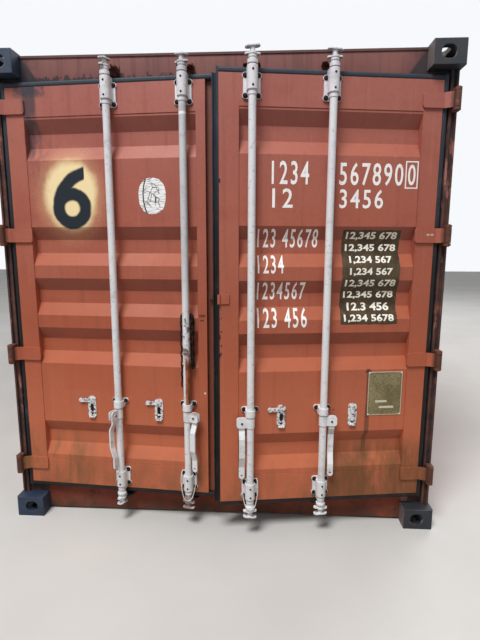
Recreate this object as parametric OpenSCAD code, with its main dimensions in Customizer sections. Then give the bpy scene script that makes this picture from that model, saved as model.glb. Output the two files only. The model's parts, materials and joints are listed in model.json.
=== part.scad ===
/* [Container] */
// Overall length over the corner castings
length = 6058; // [5000:1:7000]
// Overall width over the corner castings
width = 2438; // [2300:1:2600]
// Overall height over the corner castings
height = 2591; // [2438:1:2896]
// Thickness of the wall and roof sheets
sheet_t = 2; // [1.6:0.1:3]

/* [Corner castings] */
// Length of a casting along the container
casting_l = 178; // [170:1:190]
// Width of a casting across the container
casting_w = 162; // [155:1:175]
// Height of a casting
casting_h = 118; // [112:1:125]
// Wall thickness of a casting
casting_wall = 18; // [14:1:22]
// Thickness of the plate with the lifting hole
casting_plate = 28; // [24:1:32]
// Rounding of a casting's outer upright edge
casting_edge = 12; // [3:1:14]
// End of a casting to the middle of its lifting hole
hole_from_end = 102.5; // [100:0.5:105]
// Side of a casting to the middle of its lifting hole
hole_from_side = 89.5; // [88:0.5:91]
// Length of the lifting hole
hole_l = 124; // [118:1:128]
// Width of the lifting hole
hole_w = 63.5; // [60:0.5:66]
// Long side of the side holes
side_hole_l = 79.5; // [76:0.5:84]
// Long side of the end holes
end_hole_l = 74; // [72:0.5:80]

/* [Frame] */
// How far the door posts stand behind the casting faces
post_setback = 62; // [61:1:64]
// Wall of the posts
post_wall = 6; // [4:1:10]
// Side of the container to the side of the doorway
post_reach = 48; // [46:0.5:60]
// Width of the groove in front of a door post
groove_w = 16; // [10:1:18]
// Depth of the groove in front of a door post
groove_d = 12; // [6:1:14]
// Length of a front post's side plate
front_post_l = 140; // [120:1:160]
// Width of a front post's front plate
front_post_w = 118; // [100:1:140]
// Height of the sill's top over the ground
sill_top = 164; // [156:1:172]
// Tops of the castings to the header's underside
header_h = 141; // [138:1:152]
// How far the header's face stands behind the casting faces
header_setback = 88; // [80:1:95]
// Gap between the roof's top and the casting tops
roof_drop = 6; // [4:1:10]
// Side of the top side rail's square tube
top_rail = 60; // [50:1:70]
// Height of the rails' underside over the ground
rail_bottom = 14; // [10:1:18]
// Width of the bottom side rail's flanges
rail_flange = 48; // [40:1:60]
// Plate thickness of the bottom side rail
rail_t = 4.5; // [4:0.5:6]

/* [Sheets] */
// Length of one wave of the side wall
wall_pitch = 278; // [260:1:300]
// Depth of the side wall's waves
wall_depth = 36; // [28:1:40]
// Length of one wave of the front wall
front_pitch = 250; // [230:1:270]
// Depth of the front wall's waves
front_depth = 45; // [36:1:50]
// Length of one wave of the roof
roof_pitch = 209; // [190:1:230]
// Depth of the roof's waves
roof_depth = 20; // [14:1:24]

/* [Base] */
// Thickness of the floor boards
floor_t = 28; // [24:1:30]
// Width of a cross member's flanges
cross_flange = 45; // [40:1:50]
// Plate thickness of a cross member
cross_t = 4; // [3:0.5:6]
// Largest distance between cross members
cross_pitch = 300; // [280:5:320]
// Clear width of a fork pocket
pocket_w = 360; // [340:1:370]
// Clear height of a fork pocket
pocket_h = 110; // [100:1:112]
// Distance between the fork pockets' centres
pocket_pitch = 2050; // [2000:5:2080]

/* [Doors] */
// How far the left door stands open, in degrees
left_ajar = 4; // [2:0.5:5]
// How far the right door stands open, in degrees
right_ajar = 8; // [7:0.5:12]
// How far the door faces stand behind the casting faces
face_setback = 60; // [58:1:61]
// Thickness of a door leaf
leaf_t = 50; // [46:1:56]
// Width of the door's vertical members
stile_w = 100; // [90:1:110]
// Height of the door's top and bottom members
door_rail_h = 150; // [130:1:156]
// Wall of the door's members
stile_wall = 3.5; // [3:0.5:5]
// Width of the rubber seal round a door
gasket_w = 28; // [24:1:32]
// Running gap between the seal and the frame
gasket_gap = 3; // [2:0.5:4]
// Middle of the doorway to the right leaf's red edge
right_edge = 9; // [8:1:12]
// Middle of the doorway to the left leaf's front edge
left_edge = 61; // [56:1:70]
// Middle of the doorway to the left leaf's recessed flange
left_flange_edge = 15; // [14:1:18]
// Sill's top to the middle of the lowest door recess
recess_low = 315; // [305:1:325]
// Middle of the highest door recess to the header's underside
recess_high = 297; // [290:1:310]
// Flat length of a recess
recess_flat = 72; // [60:1:80]
// Length of a recess's slopes
recess_slope = 68; // [55:1:72]
// Depth of a recess
recess_depth = 36; // [28:1:38]
// How far the door sheets stand behind the door faces
panel_inset = 3; // [2:0.5:6]

/* [Hinges] */
// How far the hinge pins stand behind the casting faces
pin_setback = 22; // [20:1:24]
// Side of the container to the hinge pins
pin_inset = 25; // [22:1:29]
// Radius of a hinge pin
pin_r = 10; // [8:0.5:11]
// Radius of a hinge barrel
barrel_r = 17; // [15:0.5:19]
// Height of a hinge strap
strap_h = 75; // [65:1:85]
// Reach of a hinge strap onto the leaf
strap_reach = 108; // [90:1:140]
// Rounding of a hinge strap's corners
strap_corner = 14; // [6:1:20]
// Thickness of a hinge strap
strap_t = 10; // [8:1:12]
// Thickness of a hinge lug
lug_t = 14; // [12:1:18]
// Sill's top to the middle of the lowest hinge
hinge_low = 156; // [145:1:175]
// Middle of the highest hinge to the header's underside
hinge_high = 129; // [120:1:150]

/* [Locking bars] */
// Radius of a locking bar
bar_r = 19; // [17:0.5:20]
// Distance of the bar's axis from the door's face
bar_standoff = 34; // [32:1:36]
// Middle of the doorway to the inner bars
bar_in_y = 170; // [165:1:175]
// Side of the doorway to the outer bars
bar_out_inset = 604; // [599:1:609]
// Width of a cam over its ears
cam_w = 75; // [66:1:78]
// Thickness of a cam's ears
cam_t = 8; // [6:1:12]
// Clear height between a cam's ears and its hat
cam_gap = 22; // [21:1:26]
// Thickness of a cam's hat
hat_t = 6; // [5:0.5:8]
// Tilt of a cam's hat
hat_tilt = 7; // [0:1:9]
// Radius of the neck between a cam's ears and its hat
neck_r = 12.5; // [11:0.5:15]
// Header's underside to the middle of the upper cams
cam_rise = 55; // [52:1:60]
// Middle of the lower cams to the sill's top
cam_drop = 24; // [22:1:30]
// Middle of the upper bar brackets to the header's underside
bracket_drop = 91; // [91:1:100]
// Sill's top to the middle of the lower bar brackets
bracket_rise = 109; // [101:1:121]
// Height of the bar guides' middle
guide_z = 717; // [715:1:730]
// Width of a bar bracket
bracket_w = 95; // [85:1:105]
// Height of a bar bracket
bracket_h = 122; // [110:1:122]
// Width of a bar guide
guide_w = 94; // [80:1:100]
// Height of a bar guide
guide_h = 56; // [50:1:60]

/* [Handles] */
// Height of the handle pins
handle_z = 665; // [655:1:665]
// Distance of the handle pin from the bar's axis
handle_offset = 46; // [44:1:48]
// Length of a handle from its pin to its end
handle_l = 320; // [300:5:320]
// Width of a handle
handle_w = 32; // [28:1:34]
// Thickness of a handle
handle_t = 10; // [8:1:10]
// Sideways step of a handle
handle_step = 20; // [15:1:20]
// Turn of each bar at rest, from locked, left outer to right outer
bar_turn = [75, 160, 180, 8];
// Distance of a handle catch from its bar
catch_offset = 173; // [165:1:180]
// Height of the catches' middle
catch_z = 681; // [670:1:690]
// Width of a catch
catch_w = 48; // [40:1:52]
// Height of a catch
catch_h = 130; // [110:1:135]
// Length of a catch hook from its pivot to its end
hook_l = 76; // [60:1:80]
// Turn of each catch hook at rest, from pointing at the hinges, left outer to right outer
hook_turn = [0, 0, -180, -90];

/* [Small pieces] */
// Width of the data plate
plate_w = 191; // [150:1:220]
// Height of the data plate
plate_h = 247; // [200:1:260]
// Height of the data plate's middle
plate_z = 797; // [790:1:804]
// Hinge pin to the middle of the data plate
plate_s = 274; // [260:1:290]
// Height of the middle of the two lugs between the doors
lug_z = 1326; // [1310:1:1340]
// Thickness of the chain's wire
chain_d = 6; // [5:0.5:6]
// Width of a chain link
chain_w = 21.5; // [20:0.5:21.5]
// Height of the chain's turn behind the bar
chain_z = 1226; // [1200:1:1240]
// Links in each of the chain's hanging runs, hinge side first
chain_links = [14, 10, 10];

/* [Hidden] */
$fn = 48;

half_l = length / 2;
half_w = width / 2;
casting_in_x = half_l - casting_l;
casting_in_y = half_w - casting_w;
skin_inset = 6;
side_face = half_w - skin_inset;
doorway_w = width - 2 * post_reach;
header_bottom = height - header_h;
post_front = half_l - post_setback;
post_back = casting_in_x;
header_front = half_l - header_setback;
header_back = casting_in_x;
rail_top = sill_top;
roof_top = height - roof_drop;
roof_low = roof_top - roof_depth;
top_rail_z = roof_low - top_rail;
floor_z = sill_top - floor_t;
front_face = -half_l + 8;
front_rail_d = 60;
front_rail_back = front_face + front_rail_d;

pin_x = half_l - pin_setback;
pin_y = half_w - pin_inset;
face_n = pin_setback - face_setback;
panel_n = face_n - panel_inset;
flange_n = face_n - leaf_t + 22;
leaf_s0 = pin_y - doorway_w / 2 + gasket_gap + gasket_w;
leaf_z0 = sill_top + gasket_gap + gasket_w;
leaf_z1 = header_bottom - gasket_gap - gasket_w;
recess_places = [0, 2, 3, 4, 6];
recess_z = sill_top + recess_low;
recess_pitch = (header_bottom - recess_high - recess_z) / 6;
hinge_z = sill_top + hinge_low;
hinge_pitch = (header_bottom - hinge_high - hinge_z) / 3;

bar_n = face_n + bar_standoff;
bar_out_y = doorway_w / 2 - bar_out_inset;
cam_top_z = header_bottom + cam_rise;
cam_low_z = sill_top - cam_drop;
cam_reach = cam_gap / 2 + cam_t;
bracket_top_z = header_bottom - bracket_drop;
bracket_low_z = sill_top + bracket_rise;
housing_r = 26;
collar_r = 21;
hat_z = cam_gap / 2 + hat_t / 2 + cam_w / 2 * sin(hat_tilt);
bolt_plate_t = 8;
hub_h = 54;
hub_reach = 28;
fork_t = 6;
fork_gap = handle_t + 2;
pin_head = 3;
keeper_t = 10;
keeper_clear = 5;
keeper_reach = 30;
hook_t = 5;
hook_gap = 1;
hook_drop = 24;
catch_t = 6;
run_clear = 0.8;
chain_pitch = 28;
chain_tight = 0.3;
chain_wall_gap = 0.2;

paint = "#a9583f";
header_paint = "#86635f";
casting_paint = "#23272f";
zinc = "#b9bcba";
rubber = "#1d1d1f";
timber = "#8a6a45";
rusty = "#5b3a2c";
brass = "#8a875f";

// Flat slot centred on the origin, long along X
module slot_2d(long, wide) {
    for (end = [-1, 1]) translate([end * (long - wide) / 2, 0]) circle(d = wide);
    square([long - wide, wide], center = true);
}

// Flat rectangle centred on the origin with round corners
module round_2d(long, wide, r) {
    square([long - 2 * r, wide], center = true);
    square([long, wide - 2 * r], center = true);
    for (x = [-1, 1], y = [-1, 1])
        translate([x * (long / 2 - r), y * (wide / 2 - r)]) circle(r = r);
}

// Flat rectangle centred on the origin with its corners cut off
module cut_corners_2d(long, wide, cut) {
    x = long / 2;
    y = wide / 2;
    polygon([[x, y - cut], [x - cut, y], [cut - x, y], [-x, y - cut],
             [-x, cut - y], [cut - x, -y], [x - cut, -y], [x, cut - y]]);
}

// Turns a flat shape to face X, its X along Y and its Y along Z, and gives it a thickness
module facing(t) {
    rotate([90, 0, 90]) linear_extrude(t) children();
}

module extrude_from(z, h) {
    translate([0, 0, z]) linear_extrude(h) children();
}

// Copies its children to the other side of the container
module both_sides() {
    for (side = [0, 1]) mirror([0, side, 0]) children();
}

// One casting for the corner at plus length, plus width, lifting hole up
module casting() {
    straight = hole_l - hole_w;
    side_w = hole_w - 12;
    edge = casting_edge;
    difference() {
        translate([-casting_l, -casting_w, -casting_h]) linear_extrude(casting_h) {
            square([casting_l - edge, casting_w]);
            square([casting_l, casting_w - edge]);
            translate([casting_l - edge, casting_w - edge]) circle(r = edge);
        }
        translate([-casting_l + casting_wall, -casting_w + casting_wall, -casting_h + casting_wall])
            cube([casting_l - 2 * casting_wall, casting_w - 2 * casting_wall,
                  casting_h - casting_wall - casting_plate]);
        for (end = [-1, 1])
            translate([-hole_from_end + end * straight / 2, -hole_from_side, -casting_plate - 1])
                cylinder(d = hole_w, h = casting_plate + 2);
        translate([-hole_from_end - straight / 2, -hole_from_side - hole_w / 2, -casting_plate - 1])
            cube([straight, hole_w, casting_plate + 2]);
        translate([-casting_wall - 1, -hole_from_side, -casting_h / 2]) rotate([0, 90, 0])
            linear_extrude(casting_wall + 2) rotate(90) slot_2d(end_hole_l, hole_w);
        translate([-hole_from_end, 1, -casting_h / 2]) rotate([90, 0, 0])
            linear_extrude(casting_wall + 2) slot_2d(side_hole_l, side_w);
    }
}

module four_castings() {
    for (end = [0, 1], side = [0, 1])
        mirror([end, 0, 0]) mirror([0, side, 0]) translate([half_l, half_w, 0]) casting();
}

module top_corner_castings() {
    color(casting_paint) translate([0, 0, height]) four_castings();
}

module bottom_corner_castings() {
    color(casting_paint) mirror([0, 0, 1]) four_castings();
}

// Cuts its children back where the upper castings are
module clear_of_castings() {
    difference() {
        children();
        for (end = [0, 1], side = [0, 1])
            mirror([end, 0, 0]) mirror([0, side, 0])
                translate([casting_in_x, casting_in_y, height - casting_h])
                    cube([casting_l, casting_w, casting_h]);
    }
}

module door_posts() {
    inner_y = doorway_w / 2;
    deep = post_front - post_back;
    wide = side_face - inner_y;
    nose = 10;
    groove_y = 12;
    front_t = groove_d + post_wall;
    color(paint) both_sides()
        translate([post_back, inner_y, casting_h]) linear_extrude(height - 2 * casting_h) difference() {
            union() {
                square([deep, wide - nose]);
                square([deep - nose, wide]);
                translate([deep - nose, wide - nose]) circle(r = nose);
            }
            translate([post_wall, post_wall])
                square([deep - post_wall - front_t, wide - 2 * post_wall]);
            translate([deep - groove_d, groove_y]) square([groove_d + 1, groove_w]);
        }
}

module front_posts() {
    lip = 30;
    color(paint) both_sides()
        translate([-half_l + skin_inset, side_face, casting_h]) linear_extrude(height - 2 * casting_h) {
            translate([0, -front_post_w]) square([post_wall, front_post_w]);
            translate([0, -post_wall]) square([front_post_l, post_wall]);
            translate([0, -front_post_w]) square([lip, post_wall]);
            translate([front_post_l - post_wall, -lip]) square([post_wall, lip]);
        }
}

module door_header() {
    wall = 4;
    lip_h = 12;
    lip_d = 5;
    deep = header_front - header_back;
    color(header_paint) {
        difference() {
            translate([header_back, -casting_in_y, header_bottom])
                cube([deep, 2 * casting_in_y, roof_top - header_bottom]);
            translate([header_back + wall, -casting_in_y - 1, header_bottom + wall])
                cube([deep - 2 * wall, 2 * casting_in_y + 2, roof_top - header_bottom - 2 * wall]);
        }
        translate([header_front, -casting_in_y, roof_top - lip_h]) cube([lip_d, 2 * casting_in_y, lip_h]);
    }
}

module door_sill() {
    wall = 4.5;
    deep = header_front - header_back;
    color(rusty) difference() {
        translate([header_back, -casting_in_y, rail_bottom])
            cube([deep, 2 * casting_in_y, sill_top - rail_bottom]);
        translate([header_back - 1, -casting_in_y - 1, rail_bottom + wall])
            cube([deep - wall + 1, 2 * casting_in_y + 2, sill_top - rail_bottom - 2 * wall]);
    }
}

// Blocks that fill the doorway's corners up to the castings
module corner_plates() {
    deep = header_front - header_back;
    wide = doorway_w / 2 - casting_in_y;
    color(paint) both_sides() {
        translate([header_back, casting_in_y, casting_h]) cube([deep, wide, sill_top - casting_h]);
        translate([header_back, casting_in_y, header_bottom])
            cube([deep, wide, height - casting_h - header_bottom]);
    }
}

module front_header() {
    wall = 3;
    gusset_l = casting_l - 8;
    color(paint) {
        difference() {
            translate([front_face, -casting_in_y, top_rail_z])
                cube([front_rail_d, 2 * casting_in_y, top_rail]);
            translate([front_face + wall, -casting_in_y - 1, top_rail_z + wall])
                cube([front_rail_d - 2 * wall, 2 * casting_in_y + 2, top_rail - 2 * wall]);
        }
        translate([front_face, -casting_in_y, roof_low]) cube([gusset_l, 2 * casting_in_y, wall]);
    }
}

module front_sill() {
    color(paint) difference() {
        translate([front_face, -casting_in_y, rail_bottom])
            cube([front_rail_d, 2 * casting_in_y, sill_top - rail_bottom]);
        translate([front_face + rail_t, -casting_in_y - 1, rail_bottom + rail_t])
            cube([front_rail_d, 2 * casting_in_y + 2, sill_top - rail_bottom - 2 * rail_t]);
    }
}

module top_side_rails() {
    wall = 3;
    run = 2 * casting_in_x;
    color(paint) both_sides() difference() {
        translate([-casting_in_x, side_face - top_rail, top_rail_z]) cube([run, top_rail, top_rail]);
        translate([-casting_in_x - 1, side_face - top_rail + wall, top_rail_z + wall])
            cube([run + 2, top_rail - 2 * wall, top_rail - 2 * wall]);
    }
}

// Channels between the castings, left out where the fork pockets are
module bottom_side_rails() {
    tall = rail_top - rail_bottom;
    pocket_in = pocket_pitch / 2 - pocket_w / 2;
    pocket_out = pocket_pitch / 2 + pocket_w / 2;
    color(paint) both_sides()
        for (run = [[-casting_in_x, -pocket_out], [-pocket_in, pocket_in], [pocket_out, casting_in_x]])
            translate([run[0], side_face - rail_flange, rail_bottom]) difference() {
                cube([run[1] - run[0], rail_flange, tall]);
                translate([-1, -rail_t, rail_t]) cube([run[1] - run[0] + 2, rail_flange, tall - 2 * rail_t]);
            }
}

// Outer line of a wavy sheet: waves of [flat, slope, flat, slope], centred on a run
function wave(run, pitch, depth) =
    let (count = floor((run - pitch / 3) / pitch), start = (run - count * pitch) / 2, quarter = pitch / 4)
    concat([[0, 0]],
           [for (i = [0 : count - 1], corner = [0 : 3])
               [start + i * pitch + quarter * (corner + 0.5),
                corner == 0 || corner == 3 ? 0 : -depth]],
           [[run, 0]]);

function reversed(points) = [for (i = [len(points) - 1 : -1 : 0]) points[i]];

// Wavy sheet of one thickness, along X, its outer flats at Y = 0
module wavy_sheet_2d(run, pitch, depth) {
    outer = wave(run, pitch, depth);
    polygon(concat(outer, [for (p = reversed(outer)) [p[0], p[1] - sheet_t]]));
}

module side_wall() {
    x0 = -half_l + skin_inset + front_post_l;
    wall_setback = 2;
    clear_of_castings() translate([x0, side_face - wall_setback, rail_top])
        linear_extrude(top_rail_z - rail_top) wavy_sheet_2d(post_back - x0, wall_pitch, wall_depth);
}

module left_wall() {
    color(paint) mirror([0, 1, 0]) side_wall();
}

module right_wall() {
    color(paint) side_wall();
}

module front_wall() {
    edge = side_face - front_post_w;
    wall_setback = 4;
    color(paint) clear_of_castings()
        translate([front_face + wall_setback, -edge, sill_top]) mirror([1, 0, 0]) rotate([0, 0, 90])
            linear_extrude(top_rail_z - sill_top) wavy_sheet_2d(2 * edge, front_pitch, front_depth);
}

module roof() {
    x0 = -casting_in_x;
    color(paint) translate([x0, side_face, roof_top]) rotate([90, 0, 0])
        linear_extrude(2 * side_face) wavy_sheet_2d(header_back - x0, roof_pitch, roof_depth - sheet_t);
}

module floor_boards() {
    board_l = 1160;
    joint = 1;
    joint_d = 2;
    count = ceil((header_back - front_rail_back) / board_l);
    half = side_face - rail_flange - 1;
    color(timber) difference() {
        translate([front_rail_back, -half, floor_z])
            cube([header_back - front_rail_back, 2 * half, floor_t]);
        for (i = [1 : count - 1])
            translate([front_rail_back + i * board_l, -half - 1, sill_top - joint_d])
                cube([joint, 2 * half + 2, joint_d + 1]);
    }
}

// Evenly spread places for cross members strictly between two ends
function spread(a, b) =
    let (count = ceil((b - a) / cross_pitch))
    [for (i = [1 : count - 1]) a + (b - a) * i / count];

// Cross members, with a plain plate on each side of a fork pocket
module cross_members() {
    pocket_side_t = 6;
    pocket_edge = pocket_w / 2 + pocket_side_t;
    z0 = rail_bottom + rail_t;
    tall = floor_z - z0;
    reach = side_face - rail_t;
    places = concat(spread(front_rail_back, -pocket_pitch / 2 - pocket_edge),
                    spread(-pocket_pitch / 2 + pocket_edge, pocket_pitch / 2 - pocket_edge),
                    spread(pocket_pitch / 2 + pocket_edge, header_back));
    color(rusty) {
        for (x = places) translate([x - cross_t / 2, -reach, z0]) {
            cube([cross_t, 2 * reach, tall]);
            cube([cross_flange, 2 * reach, cross_t]);
            translate([0, 0, tall - cross_t]) cube([cross_flange, 2 * reach, cross_t]);
        }
        for (end = [-1, 1], side = [0, 1])
            translate([end * pocket_pitch / 2, 0, 0]) mirror([side, 0, 0])
                translate([pocket_w / 2, -reach, z0]) cube([pocket_side_t, 2 * reach, tall]);
    }
}

// Roof of each fork pocket, the side rail's piece over its mouth and the plate under it
module fork_pockets() {
    pocket_top = rail_bottom + rail_t + pocket_h;
    web_y = side_face - rail_t;
    strap = 200;
    color(rusty) for (end = [-1, 1]) translate([end * pocket_pitch / 2 - pocket_w / 2, 0, 0]) {
        translate([0, -web_y, pocket_top]) cube([pocket_w, 2 * web_y, floor_z - pocket_top]);
        both_sides() {
            translate([0, web_y, pocket_top]) cube([pocket_w, rail_t, rail_top - pocket_top]);
            translate([0, side_face - rail_flange, rail_top - rail_t]) cube([pocket_w, rail_flange, rail_t]);
            translate([0, side_face - rail_flange - strap, rail_bottom])
                cube([pocket_w, rail_flange + strap, rail_t]);
        }
    }
}

function hinge_heights() = [for (i = [0 : 3]) hinge_z + i * hinge_pitch];

module hinge_lugs() {
    play = 2;
    pin_end = 4;
    gap_z = strap_h / 2 + play;
    color(paint) both_sides() for (z = hinge_heights()) translate([pin_x, pin_y, z]) {
        for (side = [-1, 1])
            extrude_from(side * (gap_z + lug_t / 2) - lug_t / 2, lug_t) {
                circle(r = barrel_r);
                translate([post_front - pin_x, -barrel_r]) square([pin_x - post_front, 2 * barrel_r]);
            }
        translate([0, 0, -gap_z - lug_t - pin_end]) cylinder(r = pin_r, h = 2 * (gap_z + lug_t + pin_end));
    }
}

// Keeper for one cam: a base plate from z0 to z1 and a shelf with a notch for the bar's neck
module keeper(z0, z1) {
    base_t = 8;
    base_w = 86;
    corner = 10;
    horn = 14;
    rib_t = 8;
    rib_reach = 24;
    back = header_front - pin_x;
    shelf_back = back + base_t;
    shelf_front = bar_n + neck_r;
    notch = neck_r + keeper_clear;
    color(zinc) {
        translate([back, 0, (z0 + z1) / 2]) facing(base_t) round_2d(base_w, z1 - z0, corner);
        extrude_from(-keeper_t / 2, keeper_t) difference() {
            union() {
                translate([shelf_back, -base_w / 2]) square([shelf_front - shelf_back - horn, base_w]);
                translate([shelf_back, -base_w / 2 + horn])
                    square([shelf_front - shelf_back, base_w - 2 * horn]);
                for (side = [-1, 1])
                    translate([shelf_front - horn, side * (base_w / 2 - horn)]) circle(r = horn);
            }
            translate([bar_n, 0]) circle(r = notch);
            translate([bar_n, -notch]) square([notch * 2, 2 * notch]);
        }
        for (side = [-1, 1])
            translate([0, side * (base_w / 2 - corner) + rib_t / 2, -keeper_t / 2]) rotate([90, 0, 0])
                linear_extrude(rib_t)
                    polygon([[shelf_back, 0], [shelf_back + rib_reach, 0], [shelf_back, -rib_reach]]);
    }
}

module cam_keepers() {
    under_sill = 4;
    both_sides() for (y = [bar_in_y, bar_out_y]) {
        translate([pin_x, y, cam_low_z]) keeper(-keeper_reach, sill_top - under_sill - cam_low_z);
        translate([pin_x, y, cam_top_z]) keeper(-keeper_reach, keeper_reach);
    }
}

module vents() {
    vent_l = 230;
    vent_h = 100;
    vent_t = 6;
    vent_drop = 261;
    vent_from_end = 729;
    slot_pitch = 25;
    slot_h = 8;
    slot_end = 20;
    color(rubber) both_sides() for (end = [-1, 1])
        translate([end * (half_l - vent_from_end), side_face - 2, height - vent_drop]) difference() {
            translate([-vent_l / 2, 0, -vent_h / 2]) cube([vent_l, vent_t, vent_h]);
            for (row = [-1 : 1])
                translate([-vent_l / 2 + slot_end, vent_t - 2, row * slot_pitch - slot_h / 2])
                    cube([vent_l - 2 * slot_end, 3, slot_h]);
        }
}

// Puts a piece drawn from the hinge pin (X outward, Y toward the hinge) on the left or right door
module on_door(side) {
    mirror([0, side < 0 ? 1 : 0, 0]) translate([pin_x, pin_y, 0])
        rotate([0, 0, side < 0 ? left_ajar : right_ajar]) children();
}

// Distance from the hinge pin to each door's free edge, and to its inner upright member
function edge_s(side) = pin_y - (side < 0 ? left_edge : right_edge);
function stile_s(side) = edge_s(side) - (side < 0 ? stile_w / 2 : stile_w);

// Hollow box of the door, from s0 to s1 away from the pin
module member(s0, s1, z0, z1) {
    difference() {
        translate([face_n - leaf_t, -s1, z0]) cube([leaf_t, s1 - s0, z1 - z0]);
        translate([face_n - leaf_t + stile_wall, -s1 + stile_wall, z0 + stile_wall])
            cube([leaf_t - 2 * stile_wall, s1 - s0 - 2 * stile_wall, z1 - z0 - 2 * stile_wall]);
    }
}

module door_frame(side) {
    flange_s = pin_y - left_flange_edge;
    color(paint) on_door(side) {
        member(leaf_s0, leaf_s0 + stile_w, leaf_z0, leaf_z1);
        member(stile_s(side), edge_s(side), leaf_z0, leaf_z1);
        member(leaf_s0 + stile_w, stile_s(side), leaf_z0, leaf_z0 + door_rail_h);
        member(leaf_s0 + stile_w, stile_s(side), leaf_z1 - door_rail_h, leaf_z1);
        if (side < 0)
            translate([face_n - leaf_t, -flange_s, leaf_z0])
                cube([flange_n - face_n + leaf_t, flange_s - edge_s(side), leaf_z1 - leaf_z0]);
    }
}

// Outer line of the door sheet, height along X and depth along Y
function panel_line(z0, z1) =
    concat([[z0, 0]],
           [for (place = recess_places, corner = [[-0.5, -1, 0], [-0.5, 0, -1], [0.5, 0, -1], [0.5, 1, 0]])
               [recess_z + place * recess_pitch + corner[0] * recess_flat + corner[1] * recess_slope,
                corner[2] * recess_depth]],
           [[z1, 0]]);

module door_panel(side) {
    s0 = leaf_s0 + stile_w;
    s1 = stile_s(side);
    line = panel_line(leaf_z0 + door_rail_h, leaf_z1 - door_rail_h);
    color(paint) on_door(side) translate([panel_n, -s0, 0]) rotate([90, 0, 0])
        linear_extrude(s1 - s0)
            polygon([for (p = concat(line, [for (q = reversed(line)) [q[0], q[1] - sheet_t]]))
                         [p[1], p[0]]]);
}

// Section of a door seal, its front edges broken twice: depth along X, width along Y
module seal_2d(deep, wide) {
    r = wide / 3;
    half = r * 0.3;
    polygon([[0, 0], [deep - r, 0], [deep - half, half], [deep, r], [deep, wide - r],
             [deep - half, wide - half], [deep - r, wide], [0, wide]]);
}

module door_gasket(side) {
    gasket_d = 28;
    seal_setback = 3;
    edge_t = 8;
    lip_t = 14;
    lip_setback = 4;
    back = face_n - seal_setback - gasket_d;
    z0 = leaf_z0 - gasket_w;
    tall = leaf_z1 - leaf_z0 + 2 * gasket_w;
    lip_s = pin_y + 2;
    s1 = edge_s(side);
    end = side < 0 ? pin_y - left_flange_edge : s1;
    color(rubber) on_door(side) {
        translate([back, -leaf_s0, z0]) linear_extrude(tall) seal_2d(gasket_d, gasket_w);
        for (z = [z0, leaf_z1])
            translate([back, -leaf_s0, z]) rotate([90, 0, 0]) linear_extrude(end - leaf_s0)
                seal_2d(gasket_d, gasket_w);
        if (side > 0) {
            translate([back, -s1 - edge_t, z0]) cube([gasket_d, edge_t, tall]);
            translate([face_n - lip_setback - lip_t, -lip_s, z0]) cube([lip_t, lip_s - s1, tall]);
        }
    }
}

module hinge_straps(side) {
    bend_s = 50;
    back_s = leaf_s0 + 8;
    end_s = leaf_s0 + strap_reach;
    depth = 60;
    color(paint) on_door(side) for (z = hinge_heights()) translate([0, 0, z]) difference() {
        intersection() {
            extrude_from(-strap_h / 2, strap_h) {
                circle(r = barrel_r);
                polygon([[face_n, -end_s], [face_n + strap_t, -end_s], [face_n + strap_t, -bend_s],
                         [-5, -16], [-15, -6], [face_n, -back_s]]);
            }
            translate([-depth, 0, 0]) facing(2 * depth) {
                translate([-end_s + strap_corner, -strap_h / 2]) square([end_s + barrel_r, strap_h]);
                translate([-end_s, -strap_h / 2 + strap_corner])
                    square([strap_corner, strap_h - 2 * strap_corner]);
                for (end = [-1, 1])
                    translate([-end_s + strap_corner, end * (strap_h / 2 - strap_corner)])
                        circle(r = strap_corner);
            }
        }
        translate([0, 0, -strap_h]) cylinder(r = pin_r + run_clear / 2, h = 2 * strap_h);
    }
}

function bar_s(inner) = pin_y - (inner ? bar_in_y : bar_out_y);

// Half-round housing for a bar, from z0 to z1, bored for the bar and narrow for neck_h at its lower end
module housing(z0, z1, neck_h) {
    module round_front(r) {
        circle(r = r);
        translate([-bar_standoff, -r]) square([bar_standoff, 2 * r]);
    }
    cone_h = 8;
    barrel_z = neck_h > 0 ? z0 + neck_h + cone_h : z0;
    difference() {
        union() {
            extrude_from(barrel_z, z1 - barrel_z) round_front(housing_r);
            if (neck_h > 0) {
                extrude_from(z0, barrel_z - z0) round_front(collar_r);
                translate([0, 0, z0 + neck_h]) cylinder(r1 = collar_r, r2 = housing_r, h = cone_h);
            }
        }
        translate([0, 0, z0 - 1]) cylinder(r = bar_r + run_clear, h = z1 - z0 + 2);
    }
}

// Bracket for a bar: plate with four bolt ears and a housing with a narrow lower end
module bracket(tall, z0, z1) {
    ear_r = 15;
    waist = 5;
    neck_h = 16;
    translate([-bar_standoff, 0, 0]) facing(bolt_plate_t) {
        for (y = [-1, 1], z = [-1, 1])
            translate([y * (bracket_w / 2 - ear_r), z * (tall / 2 - ear_r)]) circle(r = ear_r);
        square([bracket_w - 2 * ear_r, tall], center = true);
        square([bracket_w - 2 * waist, tall - 2 * ear_r], center = true);
    }
    housing(z0, z1, neck_h);
}

// Guide for a bar: two ears above a plate that narrows downward
module guide() {
    ear_r = 14;
    ear_y = guide_w / 2 - ear_r;
    foot_w = 30;
    plate_t = 7 + panel_inset;
    translate([-bar_standoff - panel_inset, 0, 0]) facing(plate_t) {
        for (side = [-1, 1]) translate([side * ear_y, guide_h / 2 - ear_r]) circle(r = ear_r);
        polygon([[-ear_y, guide_h / 2], [ear_y, guide_h / 2], [ear_y, guide_h / 2 - 2 * ear_r],
                 [foot_w / 2, -guide_h / 2], [-foot_w / 2, -guide_h / 2],
                 [-ear_y, guide_h / 2 - 2 * ear_r]]);
    }
    housing(-guide_h / 3, guide_h / 3, 0);
}

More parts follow.
